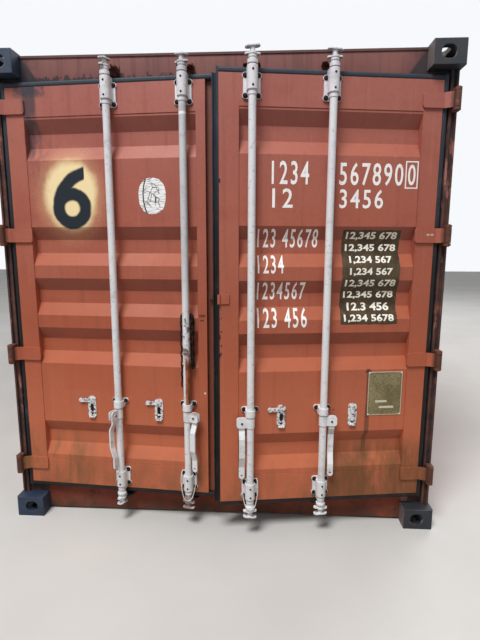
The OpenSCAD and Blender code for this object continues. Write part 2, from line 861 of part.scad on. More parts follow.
module bar_brackets(side) {
    over = 20;
    under = 10;
    color(zinc) on_door(side) for (inner = [false, true]) translate([bar_n, -bar_s(inner), 0]) {
        translate([0, 0, bracket_top_z]) bracket(bracket_h, -bracket_h / 2 + under, bracket_h / 2 + over);
        translate([0, 0, bracket_low_z])
            bracket(bracket_h - under, -bracket_h / 2 - under, bracket_h / 2 - over);
        translate([0, 0, guide_z]) guide();
    }
}

function bar_index(side, inner) = side < 0 ? (inner ? 1 : 0) : (inner ? 2 : 3);

// Puts a piece drawn from a bar's axis (X outward, Y toward the hinge, as locked) on its turned bar
module on_bar(side, inner) {
    on_door(side) translate([bar_n, -bar_s(inner), 0])
        rotate([0, 0, -bar_turn[bar_index(side, inner)]]) children();
}

// Cam at a bar's end, its tilted hat away from the bar: up is 1 for the upper end and -1 for the lower
module cam(z, up) {
    ear_w = 24;
    boss_r = 23;
    hat_w = 36;
    flare = 6;
    cap_h = 9;
    translate([0, 0, z]) mirror([0, 0, up < 0 ? 1 : 0]) {
        extrude_from(-cam_reach, cam_t) {
            circle(r = boss_r);
            rotate(90) slot_2d(cam_w, ear_w);
        }
        translate([0, 0, -cam_gap / 2]) cylinder(r = neck_r, h = cam_gap / 2 + hat_z);
        translate([0, 0, hat_z - flare]) cylinder(r1 = neck_r, r2 = neck_r + flare, h = flare);
        translate([0, 0, hat_z]) rotate([-hat_tilt, 0, 0])
            extrude_from(-hat_t / 2, hat_t) rotate(90) slot_2d(cam_w, hat_w);
        translate([0, 0, hat_z]) cylinder(r1 = neck_r + 2, r2 = neck_r - 2, h = cap_h);
    }
}

// Collar below a cam, from its ears at z for the length reach, negative downward: a ring at either end
module collar(z, reach) {
    ring_r = 25;
    near_h = reach * 0.32;
    far_h = reach * 0.45;
    for (ring = [[collar_r, 0, near_h], [ring_r, reach - far_h, far_h]])
        translate([0, 0, z + min(ring[1], ring[1] + ring[2])]) cylinder(r = ring[0], h = abs(ring[2]));
}

module bar(side, inner) {
    hub_r = 23;
    hub_corner = 14;
    hub_back = 10;
    pin_hole = 6;
    slot_y = handle_offset - handle_w / 2 - 3;
    top_collar_h = 40;
    low_collar_h = 26;
    color(zinc) on_bar(side, inner) {
        translate([0, 0, cam_low_z + cam_reach])
            cylinder(r = bar_r, h = cam_top_z - cam_low_z - 2 * cam_reach);
        cam(cam_low_z, -1);
        cam(cam_top_z, 1);
        collar(cam_top_z - cam_reach, -top_collar_h);
        collar(cam_low_z + cam_reach, low_collar_h);
        translate([0, 0, handle_z - hub_h / 2]) cylinder(r = hub_r, h = hub_h);
        difference() {
            translate([-fork_gap / 2 - fork_t, 0, handle_z]) facing(fork_gap + 2 * fork_t) {
                translate([hub_back, -hub_h / 2])
                    square([handle_offset + hub_reach - hub_corner - hub_back, hub_h]);
                translate([handle_offset + hub_reach - hub_corner, -hub_h / 2 + hub_corner])
                    square([hub_corner, hub_h - 2 * hub_corner]);
                for (end = [-1, 1])
                    translate([handle_offset + hub_reach - hub_corner, end * (hub_h / 2 - hub_corner)])
                        circle(r = hub_corner);
            }
            translate([-fork_gap / 2, slot_y, handle_z - hub_h]) cube([fork_gap, hub_h * 2, hub_h * 2]);
        }
        translate([-fork_gap / 2 - fork_t - pin_head, handle_offset, handle_z]) rotate([0, 90, 0])
            cylinder(r = pin_hole, h = fork_gap + 2 * fork_t + 2 * pin_head);
    }
}

// Flat handle that hangs from its pin, bowed toward the door between the fork and its grip
module handle(side, inner) {
    t = handle_t / 2;
    bow = [[handle_w, 0], [-45, 0], [-85, -handle_step], [-190, -handle_step], [-250, 0], [-handle_l, 0]];
    pin_hole = 6.3;
    end_hole = 6;
    end_margin = 20;
    color(zinc) on_bar(side, inner) translate([0, handle_offset, handle_z]) difference() {
        intersection() {
            rotate([90, 0, 0]) translate([0, 0, -handle_w / 2]) linear_extrude(handle_w)
                polygon([for (p = concat([for (q = bow) [q[1] + t, q[0]]],
                                         [for (q = reversed(bow)) [q[1] - t, q[0]]])) p]);
            translate([-handle_step * 2, 0, 0]) facing(handle_step * 4) {
                circle(d = handle_w);
                translate([0, -handle_l + handle_w / 2]) circle(d = handle_w);
                translate([-handle_w / 2, -handle_l + handle_w / 2])
                    square([handle_w, handle_l - handle_w / 2]);
            }
        }
        rotate([0, 90, 0]) cylinder(r = pin_hole, h = 2 * handle_t, center = true);
        translate([0, 0, -handle_l + end_margin]) rotate([0, 90, 0])
            cylinder(r = end_hole, h = 2 * handle_t, center = true);
    }
}

// Puts a piece drawn from a catch's middle (X outward) on the door's sheet
module on_catch(side, inner) {
    on_door(side) translate([panel_n, -bar_s(inner) + catch_offset, catch_z]) children();
}

// Catches for the handles: a rounded plate with a slot, a wedge-shaped hole and a ledge under them
module handle_catches(side) {
    corner = 20;
    slot_w = 20;
    slot_l = 44;
    wedge_w = 26;
    wedge_h = 16;
    wedge_drop = 34;
    ledge_h = 7;
    ledge_d = 9;
    ledge_w = 34;
    pivot_r = 5;
    pivot_head = 3;
    color(zinc) for (inner = [false, true]) on_catch(side, inner) {
        facing(catch_t) difference() {
            round_2d(catch_w, catch_h, corner);
            translate([0, -4]) rotate(90) slot_2d(slot_l, slot_w);
            translate([0, -wedge_drop]) polygon([[-wedge_w / 2, 0], [wedge_w / 2, 0], [0, -wedge_h]]);
        }
        translate([0, 0, catch_h / 2 - hook_drop]) rotate([0, 90, 0])
            cylinder(r = pivot_r, h = catch_t + hook_gap + hook_t + pivot_head);
        translate([catch_t, -ledge_w / 2, -catch_h / 2 + 4]) cube([ledge_d, ledge_w, ledge_h]);
    }
}

module hook(side, inner) {
    pivot_hole = 5.4;
    eye_r = 16;
    arm_w = 22;
    tip_r = 13;
    rivet_hole = 4;
    color(zinc) on_catch(side, inner) translate([catch_t + hook_gap, 0, catch_h / 2 - hook_drop])
        rotate([hook_turn[bar_index(side, inner)], 0, 0]) facing(hook_t) difference() {
            union() {
                circle(r = eye_r);
                translate([0, -arm_w / 2]) square([hook_l - tip_r, arm_w]);
                translate([hook_l - tip_r, 0]) circle(r = tip_r);
            }
            circle(r = pivot_hole);
            translate([hook_l / 2, 0]) circle(r = rivet_hole);
        }
}

// Lug on the right door's free edge with a round knuckle
module right_centre_lug() {
    lug_h = 50;
    lug_w = 46;
    plate_t = 6;
    knuckle_r = 8;
    lug_end_y = 60;
    lug_s = pin_y - lug_end_y;
    color(paint) on_door(1) translate([face_n, -lug_s, lug_z - lug_h / 2]) {
        translate([0, -lug_w - knuckle_r, 0]) cube([plate_t, lug_w + knuckle_r, lug_h]);
        translate([knuckle_r, -lug_w - knuckle_r, 0]) cylinder(r = knuckle_r, h = lug_h);
    }
}

// Round boss on the left door's recessed flange
module left_centre_lug() {
    boss_r = 12;
    boss_h = 24;
    collar_r = 14;
    collar_h = 6;
    boss_y = 38;
    boss_s = pin_y - boss_y;
    color(rubber) on_door(-1) translate([flange_n, -boss_s, lug_z]) rotate([0, 90, 0]) {
        cylinder(r = boss_r, h = boss_h);
        cylinder(r = collar_r, h = collar_h);
    }
}

module data_plate() {
    t = 3;
    rim = 9;
    sunk = 1;
    color(brass) on_door(1) translate([panel_n, -plate_s, plate_z]) difference() {
        facing(t) square([plate_w, plate_h], center = true);
        translate([t - sunk, 0, 0]) facing(sunk + 1)
            square([plate_w - 2 * rim, plate_h - 2 * rim], center = true);
    }
}

// Chain link along Z, turned the other way from the one before
module link(i, turn) {
    rotate([0, 0, i % 2 == 0 ? turn : -turn]) rotate([0, 90, 0])
        linear_extrude(chain_d, center = true) difference() {
            cut_corners_2d(chain_pitch + 2 * chain_d, chain_w, chain_d);
            cut_corners_2d(chain_pitch, chain_w - 2 * chain_d, chain_d / 3);
        }
}

// Chain that turns behind the left inner bar and hangs on both sides of it
module lock_chain() {
    hang_turn = 45;
    flat_turn = 31;
    step = chain_pitch + chain_tight;
    wall_n = -bar_standoff - panel_inset + chain_wall_gap;
    hang_reach = (chain_w + chain_d) * sin(hang_turn) / 2;
    flat_reach = (chain_w * sin(flat_turn) + chain_d * cos(flat_turn)) / 2;
    hang_y = bar_r + 1 + hang_reach;
    back_x = wall_n + hang_reach;
    front_x = back_x + 2 * hang_reach + 1;
    runs = [[back_x, hang_y], [back_x, -hang_y], [front_x, -hang_y]];
    color(rusty) on_door(-1) translate([bar_n, -bar_s(true), chain_z]) {
        for (run = [0 : 2]) translate([runs[run][0], runs[run][1], 0])
            for (i = [0 : chain_links[run] - 1]) translate([0, 0, -step * (i + 0.5)]) link(i, hang_turn);
        for (side = [0, 1])
            translate([wall_n + flat_reach, (side - 0.5) * step, 0]) rotate([90, 0, 0])
                link(side, flat_turn);
        translate([(back_x + front_x) / 2, -hang_y, -step * chain_links[1]])
            rotate([0, 90, 0]) link(0, hang_turn);
    }
}

top_corner_castings();
bottom_corner_castings();
door_posts();
front_posts();
door_header();
door_sill();
front_header();
front_sill();
top_side_rails();
bottom_side_rails();
front_wall();
left_wall();
right_wall();
roof();
floor_boards();  // floor
cross_members();
fork_pockets();
corner_plates();
hinge_lugs();
cam_keepers();
vents();
door_frame(-1);  // left_door_frame
door_panel(-1);  // left_door_panel
door_gasket(-1);  // left_door_gasket
hinge_straps(-1);  // left_hinge_straps
bar_brackets(-1);  // left_bar_brackets
handle_catches(-1);  // left_handle_catches
left_centre_lug();
lock_chain();
door_frame(1);  // right_door_frame
door_panel(1);  // right_door_panel
door_gasket(1);  // right_door_gasket
hinge_straps(1);  // right_hinge_straps
bar_brackets(1);  // right_bar_brackets
handle_catches(1);  // right_handle_catches
right_centre_lug();
data_plate();
bar(-1, false);  // left_outer_bar
bar(-1, true);  // left_inner_bar
bar(1, true);  // right_inner_bar
bar(1, false);  // right_outer_bar
handle(-1, false);  // left_outer_handle
handle(-1, true);  // left_inner_handle
handle(1, true);  // right_inner_handle
handle(1, false);  // right_outer_handle
hook(-1, false);  // left_outer_hook
hook(-1, true);  // left_inner_hook
hook(1, true);  // right_inner_hook
hook(1, false);  // right_outer_hook
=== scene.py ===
import json
import math
import random

import bmesh
import bpy
from mathutils import Matrix, Vector


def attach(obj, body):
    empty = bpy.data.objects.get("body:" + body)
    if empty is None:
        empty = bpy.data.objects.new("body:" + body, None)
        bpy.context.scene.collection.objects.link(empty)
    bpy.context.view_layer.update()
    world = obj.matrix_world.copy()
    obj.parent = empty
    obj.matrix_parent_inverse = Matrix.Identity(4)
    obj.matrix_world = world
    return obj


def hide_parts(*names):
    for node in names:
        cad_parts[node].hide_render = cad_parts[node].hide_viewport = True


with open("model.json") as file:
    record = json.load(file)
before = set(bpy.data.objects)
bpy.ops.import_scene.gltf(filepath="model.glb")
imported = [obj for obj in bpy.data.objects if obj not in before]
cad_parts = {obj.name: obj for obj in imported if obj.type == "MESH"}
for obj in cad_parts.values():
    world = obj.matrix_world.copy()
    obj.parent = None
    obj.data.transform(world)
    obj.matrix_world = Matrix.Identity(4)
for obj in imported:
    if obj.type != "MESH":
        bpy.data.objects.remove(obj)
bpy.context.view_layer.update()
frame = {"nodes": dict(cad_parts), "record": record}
nodes = frame["nodes"]

# Places and sizes that repeat the model's own, in metres. The key -1 or 1 is the left or right door,
# and True or False the inner or outer bar.
PIN_X = 3.007
PIN_Y = 1.194
AJAR = {-1: 4, 1: 8}
PANEL_X = PIN_X - 0.041
BAR_X = PIN_X - 0.004
BAR_Y = {True: 0.170, False: 0.567}
BAR_TURN = {(-1, False): 75, (-1, True): 160, (1, True): 180, (1, False): 8}
BRACKET_TOP_Z = 2.359
BRACKET_LOW_Z = 0.273
GUIDE_Z = 0.717
HANDLE_Z = 0.665
CATCH_Z = 0.681
CATCH_OFFSET = 0.173
RECESS_Z = 0.479
RECESS_PITCH = 0.279
RECESS_PLACES = (0, 2, 3, 4, 6)
RECESS_FLAT = 0.072
RECESS_SLOPE = 0.068
RECESS_DEPTH = 0.036
SEAL_LOW_Z = 0.197
SEAL_TOP_Z = 2.417
FRONT_WALL_X = -3.017
CASTING_Y = 1.057
CASTING_TOP_Z = 0.118
SILL_TOP_Z = 0.164
FRONT_POST_Y = 1.095
BASE = "container"
SIDES = ((-1, "left"), (1, "right"))
INNERS = ((False, "outer"), (True, "inner"))

# Painted films: height over the sheet they lie on, and thickness
FILM_LIFT = 0.0002
FILM_T = 0.0004

# Distance below which vertices are joined
WELD = 0.00001


def linear(text):
    """Linear RGBA from a colour written as six hex digits."""
    rgb = [int(text[i : i + 2], 16) / 255 for i in (0, 2, 4)]
    return [c / 12.92 if c <= 0.04045 else ((c + 0.055) / 1.055) ** 2.4 for c in rgb] + [1]


def put(tree, socket, value):
    """Links a socket to another, or gives it a value."""
    if isinstance(value, bpy.types.NodeSocket):
        tree.links.new(value, socket)
    elif isinstance(value, str):
        socket.default_value = linear(value)
    else:
        socket.default_value = value


def add_node(tree, kind, inputs=None, **settings):
    """New node with its settings, and values or sockets put to inputs by number or name."""
    made = tree.nodes.new(kind)
    for key, value in settings.items():
        setattr(made, key, value)
    for key, value in (inputs or {}).items():
        put(tree, made.inputs[key], value)
    return made


class Shade:
    """One material's node tree. Inputs are numbers, hex colours, vectors or sockets."""

    def __init__(self, name, side=0):
        self.mat = bpy.data.materials.new(name)
        self.mat.use_nodes = True
        self.tree = self.mat.node_tree
        self.tree.nodes.clear()
        self.place = self.node("ShaderNodeTexCoord").outputs["Object"]
        if side:
            turn = -math.radians(side * AJAR[side])
            pin = Vector((PIN_X, side * PIN_Y, 0))
            shift = pin - Matrix.Rotation(turn, 3, "Z") @ pin
            self.place = self.moved(shift=shift, turn=(0, 0, turn))
        self.x, self.y, self.z = self.node("ShaderNodeSeparateXYZ", {0: self.place}).outputs

    def node(self, kind, inputs=None, **settings):
        return add_node(self.tree, kind, inputs, **settings)

    def math(self, operation, a, b=0.0):
        return self.node("ShaderNodeMath", {0: a, 1: b}, operation=operation).outputs[0]

    def add(self, a, b):
        return self.math("ADD", a, b)

    def minus(self, a, b):
        return self.math("SUBTRACT", a, b)

    def times(self, a, b):
        return self.math("MULTIPLY", a, b)

    def most(self, a, b):
        return self.math("MAXIMUM", a, b)

    def span(self, value, low, high, to_low=0.0, to_high=1.0, kind="SMOOTHSTEP"):
        """Maps low..high to to_low..to_high and holds the ends."""
        inputs = {0: value, 1: low, 2: high, 3: to_low, 4: to_high}
        return self.node("ShaderNodeMapRange", inputs, interpolation_type=kind).outputs[0]

    def mix(self, factor, a, b):
        """Colour a where the factor is 0, and b where it is 1."""
        return self.node("ShaderNodeMix", {"Factor": factor, 6: a, 7: b}, data_type="RGBA").outputs[2]

    def layer(self, color, mask, share, tone):
        """A tone over the colour where the mask is, at a share of its strength."""
        return self.mix(self.times(mask, share), color, tone)

    def moved(self, scale=(1, 1, 1), shift=(0, 0, 0), turn=(0, 0, 0)):
        inputs = {"Vector": self.place, "Scale": scale, "Location": shift, "Rotation": turn}
        return self.node("ShaderNodeMapping", inputs).outputs[0]

    def noise(self, scale, detail=3.0, rough=0.55, stretch=(1, 1, 1), shift=(0, 0, 0), warp=0.0):
        inputs = {"Vector": self.moved(stretch, shift), "Scale": scale, "Detail": detail,
                  "Roughness": rough, "Distortion": warp}
        return self.node("ShaderNodeTexNoise", inputs).outputs[0]

    def spots(self, low, high, *noise, **placed):
        """Noise turned into patches, 0 below low and 1 above high."""
        return self.span(self.noise(*noise, **placed), low, high)

    def jitter(self, amount, *noise, **placed):
        """Noise around 0, up to half of the amount either way."""
        return self.times(self.minus(self.noise(*noise, **placed), 0.5), amount)

    def cell_edges(self, scale, stretch=(1, 1, 1), shift=(0, 0, 0)):
        """Distance to the nearest border of irregular cells."""
        inputs = {"Vector": self.moved(stretch, shift), "Scale": scale}
        return self.node("ShaderNodeTexVoronoi", inputs, feature="DISTANCE_TO_EDGE").outputs[0]

    def window(self, value, low, high, soft):
        """1 between low and high, falling to 0 over soft outside them."""
        rise = self.span(value, low - soft, low)
        fall = self.span(value, high, high + soft, 1.0, 0.0)
        return self.times(rise, fall)

    def patch(self, y0, y1, z0, z1, soft, soft_z=None):
        """1 inside a rectangle of the door's plane, soft at its sides, and by soft_z at foot and top."""
        soft_z = soft if soft_z is None else soft_z
        return self.times(self.window(self.y, y0, y1, soft), self.window(self.z, z0, z1, soft_z))

    def distance(self, y, z, stretch_z=1.0):
        """Distance in the door's plane from a point, with heights stretched."""
        dy = self.minus(self.y, y)
        dz = self.times(self.minus(self.z, z), stretch_z)
        return self.math("SQRT", self.add(self.times(dy, dy), self.times(dz, dz)))

    def facing(self, axis):
        """Part of the surface's normal along one axis, from -1 to 1."""
        normal = self.node("ShaderNodeNewGeometry").outputs["True Normal"]
        return self.node("ShaderNodeSeparateXYZ", {0: normal}).outputs[axis]

    def outer_face(self):
        """1 on the outer side of a door, in the door's own frame."""
        normal = self.node("ShaderNodeTexCoord").outputs["Normal"]
        along_x = self.node("ShaderNodeSeparateXYZ", {0: normal}).outputs[0]
        return self.span(along_x, -0.35, -0.15)

    def rounded(self, radius):
        """Normal of the surface as it would be with its sharp edges rounded."""
        return self.node("ShaderNodeBevel", {"Radius": radius}, samples=4).outputs[0]

    def edges(self, radius):
        """Near 1 along sharp edges of the shape."""
        flat = self.node("ShaderNodeNewGeometry").outputs["True Normal"]
        inputs = {0: self.rounded(radius), 1: flat}
        dot = self.node("ShaderNodeVectorMath", inputs, operation="DOT_PRODUCT")
        return self.span(self.minus(1.0, dot.outputs["Value"]), 0.02, 0.2)

    def finish(self, color, rough, height=None, bump=0.3, depth=0.002, round_edge=0.0, specular=0.5,
               metal=0.0):
        """The material, with a bump from height and sharp edges rounded to a radius in its normal."""
        normal = {}
        if round_edge:
            normal = {"Normal": self.rounded(round_edge)}
        if height is not None:
            inputs = {"Strength": bump, "Distance": depth, "Height": height, **normal}
            normal = {"Normal": self.node("ShaderNodeBump", inputs).outputs[0]}
        inputs = {"Base Color": color, "Roughness": rough, "Metallic": metal,
                  "Specular IOR Level": specular, **normal}
        shader = self.node("ShaderNodeBsdfPrincipled", inputs)
        self.node("ShaderNodeOutputMaterial", {0: shader.outputs[0]})
        return self.mat


# Materials

def rust_layer(s, color, amount, scale=9.0, shift=(0, 0, 0)):
    """Small rust spots with a darker middle; amount is about the share that is covered."""
    spots = s.noise(scale, 8.0, 0.68, shift=shift)
    edge = 0.72 - 0.3 * amount
    mask = s.span(spots, edge, edge + 0.05)
    core = s.span(spots, edge + 0.04, edge + 0.12)
    tone = s.mix(core, "7A3F2A", "3B211A")
    return s.mix(mask, color, tone), mask


def red_paint(name, side=0, rust=0.12, marks=None):
    """Faded red-brown container paint: pinkish above, orange-brown below, streaked and chipped, with
    painted shade on faces that face down and painted light on faces that face up.
    """
    s = Shade(name, side)
    fade = s.span(s.add(s.z, s.times(s.noise(2.0, 2.0), 0.3)), 1.3, 2.6, kind="LINEAR")
    color = s.mix(fade, "AB583D", "A4625A")
    deep = s.span(s.add(s.z, s.times(s.noise(3.0, 3.0), 0.3)), 1.0, 0.2, kind="LINEAR")
    color = s.mix(deep, color, "C26E49")
    broad = s.spots(0.35, 0.7, 1.1, 4.0, 0.6)
    color = s.layer(color, broad, 0.30, "B9705A")
    cloud = s.spots(0.5, 0.75, 3.7, 5.0, 0.6, shift=(3, 1, 7))
    color = s.layer(color, cloud, 0.4, "94493A")
    streak = s.spots(0.52, 0.74, 7.0, 4.0, 0.6, stretch=(3, 3, 0.13))
    color = s.layer(color, streak, 0.34, "84433A")
    pale = s.spots(0.56, 0.8, 9.0, 4.0, 0.6, stretch=(3, 3, 0.12), shift=(5, 2, 1))
    color = s.layer(color, pale, 0.24, "C98573")
    fine = s.noise(55.0, 3.0, 0.6)
    color = s.layer(color, s.span(fine, 0.4, 0.75), 0.16, "7F4335")
    # Painted shade, in patches, on faces that face down; painted orange light on faces that face up,
    # stronger lower down.
    up = s.facing(2)
    grime_and_shade = s.times(s.span(up, -0.15, -0.5), s.span(s.noise(6.0, 5.0, 0.65), 0.2, 0.6, 0.10, 0.45))
    color = s.mix(grime_and_shade, color, "854B44")
    painted_light_up = s.times(s.span(up, 0.2, 0.6), s.span(s.z, 2.2, 1.7, 0.25, 0.55))
    color = s.mix(painted_light_up, color, "B5623F")
    color = s.mix(s.span(s.z, 1.3, 0.5, 0.0, 0.30), color, "E98258")
    color, spots = rust_layer(s, color, rust)
    worn = s.times(s.edges(0.004), s.spots(0.44, 0.62, 14.0, 5.0, 0.65, shift=(1, 4, 2)))
    color = s.layer(color, worn, 0.8, "6A392D")
    low = s.times(s.span(s.z, 0.52, 0.17), s.spots(0.36, 0.66, 6.0, 6.0, 0.65, stretch=(1, 1, 0.5)))
    color = s.layer(color, low, 0.55, "6F5139")
    if marks:
        color = s.mix(s.outer_face(), color, marks(s, color))
    rough = s.most(s.span(broad, 0.0, 1.0, 0.46, 0.62), s.times(spots, 0.85))
    height = s.add(s.noise(2.3, 3.0, 0.5), s.add(s.times(fine, 0.06), s.times(spots, 0.08)))
    return s.finish(color, rough, height, bump=0.5, depth=0.008, round_edge=0.003, specular=0.35)


def digit_mask(s, y, z):
    """A thick hand-sprayed numeral: a ring with a curved stem from its side to the top."""
    ring_r = 0.076
    stem_r = 0.185
    half = 0.032
    ring = s.math("ABSOLUTE", s.minus(s.distance(y, z), ring_r))
    stem = s.math("ABSOLUTE", s.minus(s.distance(y - ring_r + stem_r, z), stem_r))
    above = s.times(s.span(s.z, z - 0.01, z + 0.01), s.span(s.y, y + 0.088, y + 0.074))
    stem = s.add(stem, s.minus(1.0, above))
    near = s.add(s.math("MINIMUM", ring, stem), s.jitter(0.016, 14.0, 2.0))
    return s.span(near, half + 0.009, half - 0.005)


def knuckle_wear(s, color, side):
    """Rust where a hinge strap wraps round its pin."""
    near = s.span(s.times(s.y, side), 1.158, 1.178)
    ragged = s.spots(0.25, 0.45, 28.0, 6.0, 0.7)
    return s.mix(s.times(near, ragged), color, s.mix(s.noise(30.0, 5.0, 0.7), "2E201D", "6E412F"))


def left_door_marks(s, color):
    """Sprayed spot with a numeral, painted shade on the recessed strip beside the seal, tar, fresher
    paint, scratches and algae.
    """
    far = s.add(s.distance(-0.800, 1.862, 0.80), s.jitter(0.045, 9.0, 3.0, 0.6))
    mist = s.span(s.add(far, s.jitter(0.10, 170.0, 2.0, 0.6)), 0.235, 0.125)
    body = s.span(far, 0.172, 0.118)
    color = s.layer(color, mist, 0.62, "D2A078")
    color = s.layer(color, body, 0.96, "FFE9B4")
    color = s.mix(digit_mask(s, -0.797, 1.797), color, "0A1522")
    # Painted shade on the recessed strip beside the centre seal.
    recess_shade = s.patch(-0.060, -0.010, 0.19, 2.42, 0.001)
    color = s.layer(color, recess_shade, 0.62, "45271F")
    tar = s.times(s.patch(-1.032, -0.980, 2.12, 2.46, 0.020, 0.14),
                  s.spots(0.30, 0.60, 20.0, 5.0, 0.65, stretch=(1, 1, 0.25)))
    color = s.layer(color, tar, 0.8, "33323B")
    spill = s.times(s.patch(-1.075, -0.93, 2.385, 2.44, 0.03), s.spots(0.3, 0.6, 18.0, 5.0, 0.7))
    color = s.layer(color, spill, 0.9, "34333C")
    tail = s.times(s.patch(-1.02, -0.93, 1.96, 2.20, 0.03, 0.10),
                   s.spots(0.45, 0.66, 16.0, 6.0, 0.75, stretch=(1, 1, 0.5), shift=(2, 0, 0)))
    color = s.layer(color, tail, 0.5, "5A4548")
    fresh = s.patch(-0.90, -0.62, 0.78, 1.14, 0.006)
    color = s.layer(color, fresh, 0.22, "B5583C")
    ragged = s.spots(0.36, 0.5, 70.0, 5.0, 0.7)
    scratch = s.most(s.patch(-0.104, -0.070, 1.220, 1.229, 0.003),
                     s.patch(-0.098, -0.078, 1.196, 1.202, 0.002))
    color = s.layer(color, s.times(scratch, ragged), 0.85, "4A1E18")
    color = s.mix(s.patch(-0.080, -0.071, 0.786, 0.794, 0.002), color, "E8DCD4")
    green = s.times(s.patch(-1.16, -0.86, 0.15, 0.40, 0.20, 0.20),
                    s.spots(0.40, 0.68, 9.0, 7.0, 0.7, stretch=(1, 1, 0.22)))
    color = s.layer(color, green, 0.6, "62512E")
    return knuckle_wear(s, color, -1)


def right_door_marks(s, color):
    """Stain and drip at the data plate, painted shadow along its left edge, fresher paint, a torn edge,
    two white dashes and algae.
    """
    blur = s.times(s.noise(45.0, 5.0, 0.7), 0.04)
    stain = s.span(s.add(s.distance(0.823, 0.925, 1.2), blur), 0.042, 0.030)
    # Painted shadow along the data plate's left edge, laid with the stain.
    shade = s.patch(0.816, 0.830, 0.66, 0.93, 0.003)
    color = s.layer(color, s.most(stain, s.times(shade, 0.7)), 0.85, "2E221E")
    drip = s.times(s.patch(0.815, 0.835, 0.46, 0.68, 0.006, 0.09),
                   s.spots(0.3, 0.5, 20.0, 4.0, 0.6, stretch=(1, 1, 0.3)))
    color = s.layer(color, drip, 0.65, "54382C")
    fresh = s.patch(0.60, 1.02, 1.74, 2.03, 0.004)
    color = s.layer(color, fresh, 0.14, "AE5A44")
    nick = s.patch(0.008, 0.015, 1.908, 1.925, 0.004)
    torn = s.times(s.patch(0.006, 0.021, 1.02, 1.24, 0.003, 0.02),
                   s.spots(0.54, 0.60, 60.0, 5.0, 0.7, stretch=(1, 1, 0.7)))
    color = s.mix(s.most(nick, torn), color, "2A1F1F")
    for y in (1.096, 1.118):
        white = s.patch(y, y + 0.012, 1.656, 1.661, 0.003)
        color = s.layer(color, white, 0.85, "D8CFC8")
    green = s.times(s.patch(0.72, 1.20, 0.15, 0.42, 0.22, 0.16),
                    s.spots(0.25, 0.60, 9.0, 7.0, 0.7, stretch=(1, 1, 0.22)))
    color = s.layer(color, green, 0.72, "55401F")
    return knuckle_wear(s, color, 1)


def header_paint():
    """Duller red-brown with dark ends, soot along its foot and a dark upper edge."""
    s = Shade("header_paint")
    color = s.mix(s.span(s.z, 2.44, 2.58, kind="LINEAR"), "74453F", "845753")
    cloud = s.spots(0.4, 0.7, 4.0, 5.0, 0.6)
    color = s.layer(color, cloud, 0.4, "8F5F58")
    streak = s.spots(0.46, 0.64, 26.0, 3.0, 0.6, stretch=(1, 1, 0.06))
    color = s.layer(color, streak, 0.35, "4F3230")
    end = s.minus(s.math("ABSOLUTE", s.y), 0.962)
    slant = s.minus(s.times(end, 1.35), s.minus(s.z, 2.45))
    mottled = s.span(s.noise(18.0, 6.0, 0.7), 0.2, 0.5, 0.8, 1.0)
    gusset = s.times(s.span(slant, -0.012, 0.006), mottled)
    color = s.layer(color, gusset, 0.95, s.mix(s.noise(22.0, 5.0, 0.7), "12161F", "38292B"))
    color, spots = rust_layer(s, color, 0.25, 12.0)
    corner = s.most(s.span(s.y, -0.90, -1.06), s.span(s.y, 0.92, 1.05))
    soot = s.times(corner, s.spots(0.3, 0.62, 13.0, 6.0, 0.7))
    color = s.layer(color, soot, 0.8, "3D3436")
    ragged = s.jitter(0.16, 34.0, 6.0, 0.75, stretch=(1, 1, 0.5))
    reach = s.add(s.span(s.y, 0.15, -0.25, 2.456, 2.478), ragged)
    low = s.span(s.minus(s.z, reach), 0.006, -0.008)
    color = s.layer(color, low, 0.88, "222127")
    color = s.layer(color, s.span(s.z, 2.568, 2.578), 0.75, "4A3A38")
    height = s.add(s.times(spots, 0.2), s.noise(5.0, 4.0))
    return s.finish(color, 0.62, height, bump=0.4, depth=0.006, round_edge=0.003, specular=0.3)


def casting_paint():
    """Chipped dark blue on the left and nearly black on the right, with painted light in patches on the
    right casting's faces that face left.
    """
    s = Shade("casting_paint")
    right = s.span(s.y, -0.5, 0.9)
    color = s.mix(right, "1F2B40", "20262F")
    cloud = s.spots(0.38, 0.68, 10.0, 6.0, 0.65)
    color = s.layer(color, cloud, 0.55, s.mix(right, "394A60", "3A3434"))
    worn = s.times(s.edges(0.006), s.spots(0.42, 0.62, 20.0, 4.0))
    color = s.layer(color, worn, 0.8, "85736E")
    # Painted light: paler patches on the right casting's faces that face left.
    inner = s.times(s.span(s.facing(1), -0.5, -0.9), s.times(right, s.spots(0.2, 0.5, 15.0, 5.0)))
    color = s.layer(color, inner, 0.7, "8A7A78")
    color, spots = rust_layer(s, color, 0.3, 16.0)
    height = s.add(s.noise(70.0, 4.0, 0.65), s.times(spots, 0.6))
    return s.finish(color, 0.62, height, bump=0.5, depth=0.002, round_edge=0.006)


def bar_rust(s, color, rust):
    """Orange and brown runs, a rubbed length and a pale ring on the bar that the chain hangs behind."""
    color = s.mix(s.span(s.z, 1.2, 1.5, 0.0, 0.4), color, "9A9DA3")
    zone = s.window(s.z, 0.72, 0.97, 0.05)
    runs = s.noise(60.0, 5.0, 0.7, stretch=(1, 1, 0.10))
    bar_y = -BAR_Y[True]
    lee = s.span(s.y, bar_y - 0.008, bar_y + 0.002)
    running = s.most(s.times(lee, s.span(runs, 0.26, 0.36)), s.span(runs, 0.56, 0.62))
    color = s.layer(color, s.times(zone, running), 0.95, "A8520F")
    brown = s.times(s.times(zone, lee), s.span(runs, 0.46, 0.54))
    color = s.layer(color, brown, 0.9, "3E1C0E")
    foot = s.times(s.span(s.z, 0.24, 0.19), s.spots(0.34, 0.50, 34.0, 5.0, 0.7))
    color = s.layer(color, foot, 0.8, "7A5A48")
    rubbed = s.times(s.window(s.z, 0.94, 1.24, 0.03), s.spots(0.50, 0.58, 26.0, 6.0, 0.72))
    color = s.layer(color, s.window(s.z, 2.246, 2.256, 0.002), 0.9, "FFFFFF")
    return color, s.most(rust, rubbed)


